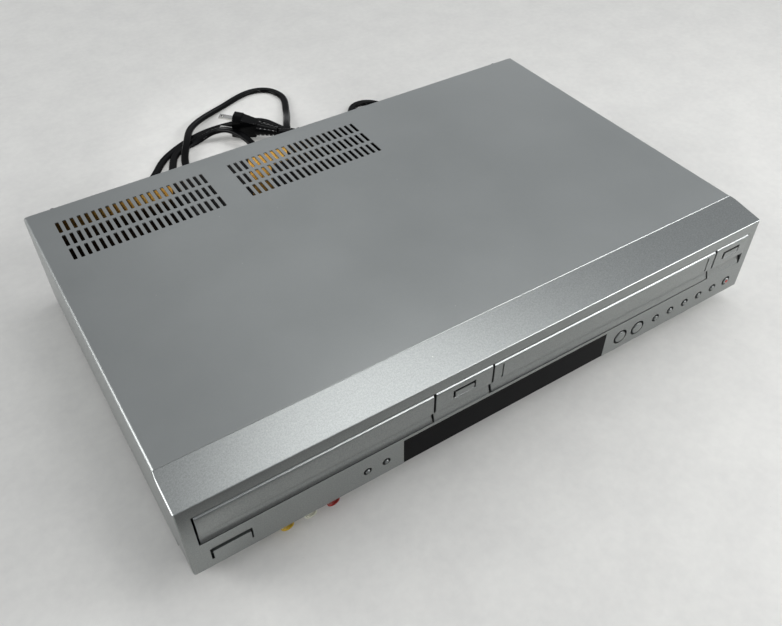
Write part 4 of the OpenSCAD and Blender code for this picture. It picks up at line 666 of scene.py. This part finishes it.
# Buttons: silver caps on stems towards the push switches; the round ones are domed, the power
# button and the two door buttons are flat with softened edges.
SLACK = 0.0003
OBLONG_REAR_Y, ROUND_REAR_Y = -0.1405, -0.1415
for node in ("power_button", "open_close_button", "eject_button"):
    button = softened(node, node.replace("_", " "), 0.0004, moulded_silver, segments=3)
    middle = sum((v.co for v in button.data.vertices), Vector()) / len(button.data.vertices)
    for v in button.data.vertices:
        v.co.x += SLACK if v.co.x < middle.x else -SLACK
        v.co.z += SLACK if v.co.z < middle.z else -SLACK
    # Painted shade: the faces behind the bezel's face are painted near black so the gaps round the
    # button read dark
    backed(button, painted_shade, lambda face: face.center.y > OBLONG_REAR_Y)
BUTTON_Z = 25.81
PROUD, CROWN, DOME_STEPS = 0.99, 0.85, 9
FLANGE, STEM_R = 1.4, 1.2
RECORD_X = 414.6
caps = {"channel_down_button": (110, 3), "channel_up_button": (122.9, 3),
        "disc_select_button": (310.2, 8.9), "tape_select_button": (326, 8.9),
        "rewind_button": (343.6, 3.6), "play_button": (357.8, 3.6), "fast_forward_button": (372, 3.6),
        "stop_button": (386.2, 3.6), "pause_button": (400.4, 3.6), "record_button": (RECORD_X, 4.9)}
for node, (x, width) in caps.items():
    r = width / 2
    turns = [pi / 2 * k / DOME_STEPS for k in range(DOME_STEPS + 1)]
    dome = [(r * sin(turn), -PROUD + (1 - cos(turn)) * CROWN) for turn in turns]
    flange = [(r, 2.5), (r + FLANGE, 2.5), (r + FLANGE, 3.3)]
    body = [(r, 0.3), *flange, (STEM_R, 3.3), (STEM_R, 4.4), (0, 4.4)]
    cap = turned(node.replace("_", " "), mm(*dome, *body), [spot(x, 0, BUTTON_Z)], "y", moulded_silver,
                 node, sides=40)
    # Painted shade: the faces behind the bezel's face are painted near black so the gaps round the cap
    # read dark
    backed(cap, painted_shade, lambda face: face.center.y > ROUND_REAR_Y)
red_dot = finish("red dot", (0.5, 0.03, 0.025), (0.38, 0.02, 0.02), (0.3, 0.4), cloud_size=200,
                 grain_size=2000, relief=0.03, film=0.02)
turned("record dot", mm((0, -1.05), (1, -1.02), (1.3, -0.9), (1.3, -0.5), (0, -0.5)),
       [spot(RECORD_X, 0, BUTTON_Z)], "y", red_dot, "record_button", sides=32, stands=False)

# Floor and light: a wide pale sweep under one broad lamp and a small one over the right end, a
# soft box at the left, low strips behind and in front for the edges, and a soft sky. A dark card in
# front shows only in the gloss, and a narrow beam reaches through the air slots.
def staged(name, corners, material):
    """A flat sheet that belongs to the floor and light, not to the object."""
    mesh = bpy.data.meshes.new(name)
    mesh.from_pydata(corners, [], [tuple(range(len(corners)))])
    mesh.materials.append(material)
    sheet = bpy.data.objects.new(name, mesh)
    scene.collection.objects.link(sheet)
    return sheet


pale = finish("pale floor", (0.72, 0.715, 0.69), (0.665, 0.66, 0.64), (0.5, 0.62), cloud_size=28,
              grain_size=160, relief=0.05, film=0.0, shine=0.0)
staged("floor", [(-4, -4, 0), (4, -4, 0), (4, 4, 0), (-4, 4, 0)], pale)
scene.view_settings.view_transform = "Standard"


def pointed(light, where, target):
    """Hangs a lamp at one place and points it at another."""
    lamp = bpy.data.objects.new(light.name, light)
    lamp.location = where
    lamp.rotation_euler = (Vector(target) - Vector(where)).to_track_quat("-Z", "Y").to_euler()
    scene.collection.objects.link(lamp)
    return lamp


for name, where, target, width, height, power in (
        ("key", (0.48, 0.08, 1.5), (0.3, -0.1, 0), 1.0, 0.7, 5.7),
        ("right", (0.5, -0.38, 0.4), (0.1, -0.25, 0), 0.3, 0.3, 1.0),
        ("left", (-1.9, 1.0, 1.15), (0, 0, 0), 1.2, 1.2, 25.5),
        ("back", (1.3, 2.4, 0.35), (0, 0, 0.05), 2.0, 0.5, 4),
        ("front", (0.85, -0.93, 0.75), (0.25, -0.15, 0), 1.6, 0.22, 8)):
    box = bpy.data.lights.new(name, "AREA")
    box.shape = "RECTANGLE"
    box.energy, box.size, box.size_y = power, width, height
    pointed(box, where, target).visible_camera = False
CARD_Z = 0.003
shade = finish("dark card", (0.03, 0.03, 0.03), (0.02, 0.02, 0.02), (0.7, 0.8))
card = staged("dark card", [(x, y, CARD_Z) for x, y in (
    (-0.7, -1.4), (0.9, -1.4), (0.45, -0.38), (0.1, -0.21), (-0.5, -0.155))], shade)
card.visible_camera = card.visible_diffuse = card.visible_shadow = False
beam = bpy.data.lights.new("narrow beam", "SPOT")
beam.energy, beam.spot_size, beam.spot_blend, beam.shadow_soft_size = 24, radians(15), 0.9, 0.03
pointed(beam, (-0.33, -0.62, 0.6), (-0.075, 0.078, 0.079))
world = bpy.data.worlds.new("soft sky")
scene.world = world
world.use_nodes = True
sky = world.node_tree
sky.nodes["Background"].inputs["Color"].default_value = (0.93, 0.96, 1, 1)
heading = sky.nodes.new("ShaderNodeSeparateXYZ")
sky.links.new(sky.nodes.new("ShaderNodeTexCoord").outputs["Generated"], heading.inputs[0])
SKY_LEFT, SKY_RIGHT = 0.31, 0.5
strength = spread(sky, heading.outputs["X"], -0.4, 0.8, SKY_LEFT, SKY_RIGHT)
sky.links.new(strength, sky.nodes["Background"].inputs["Strength"])
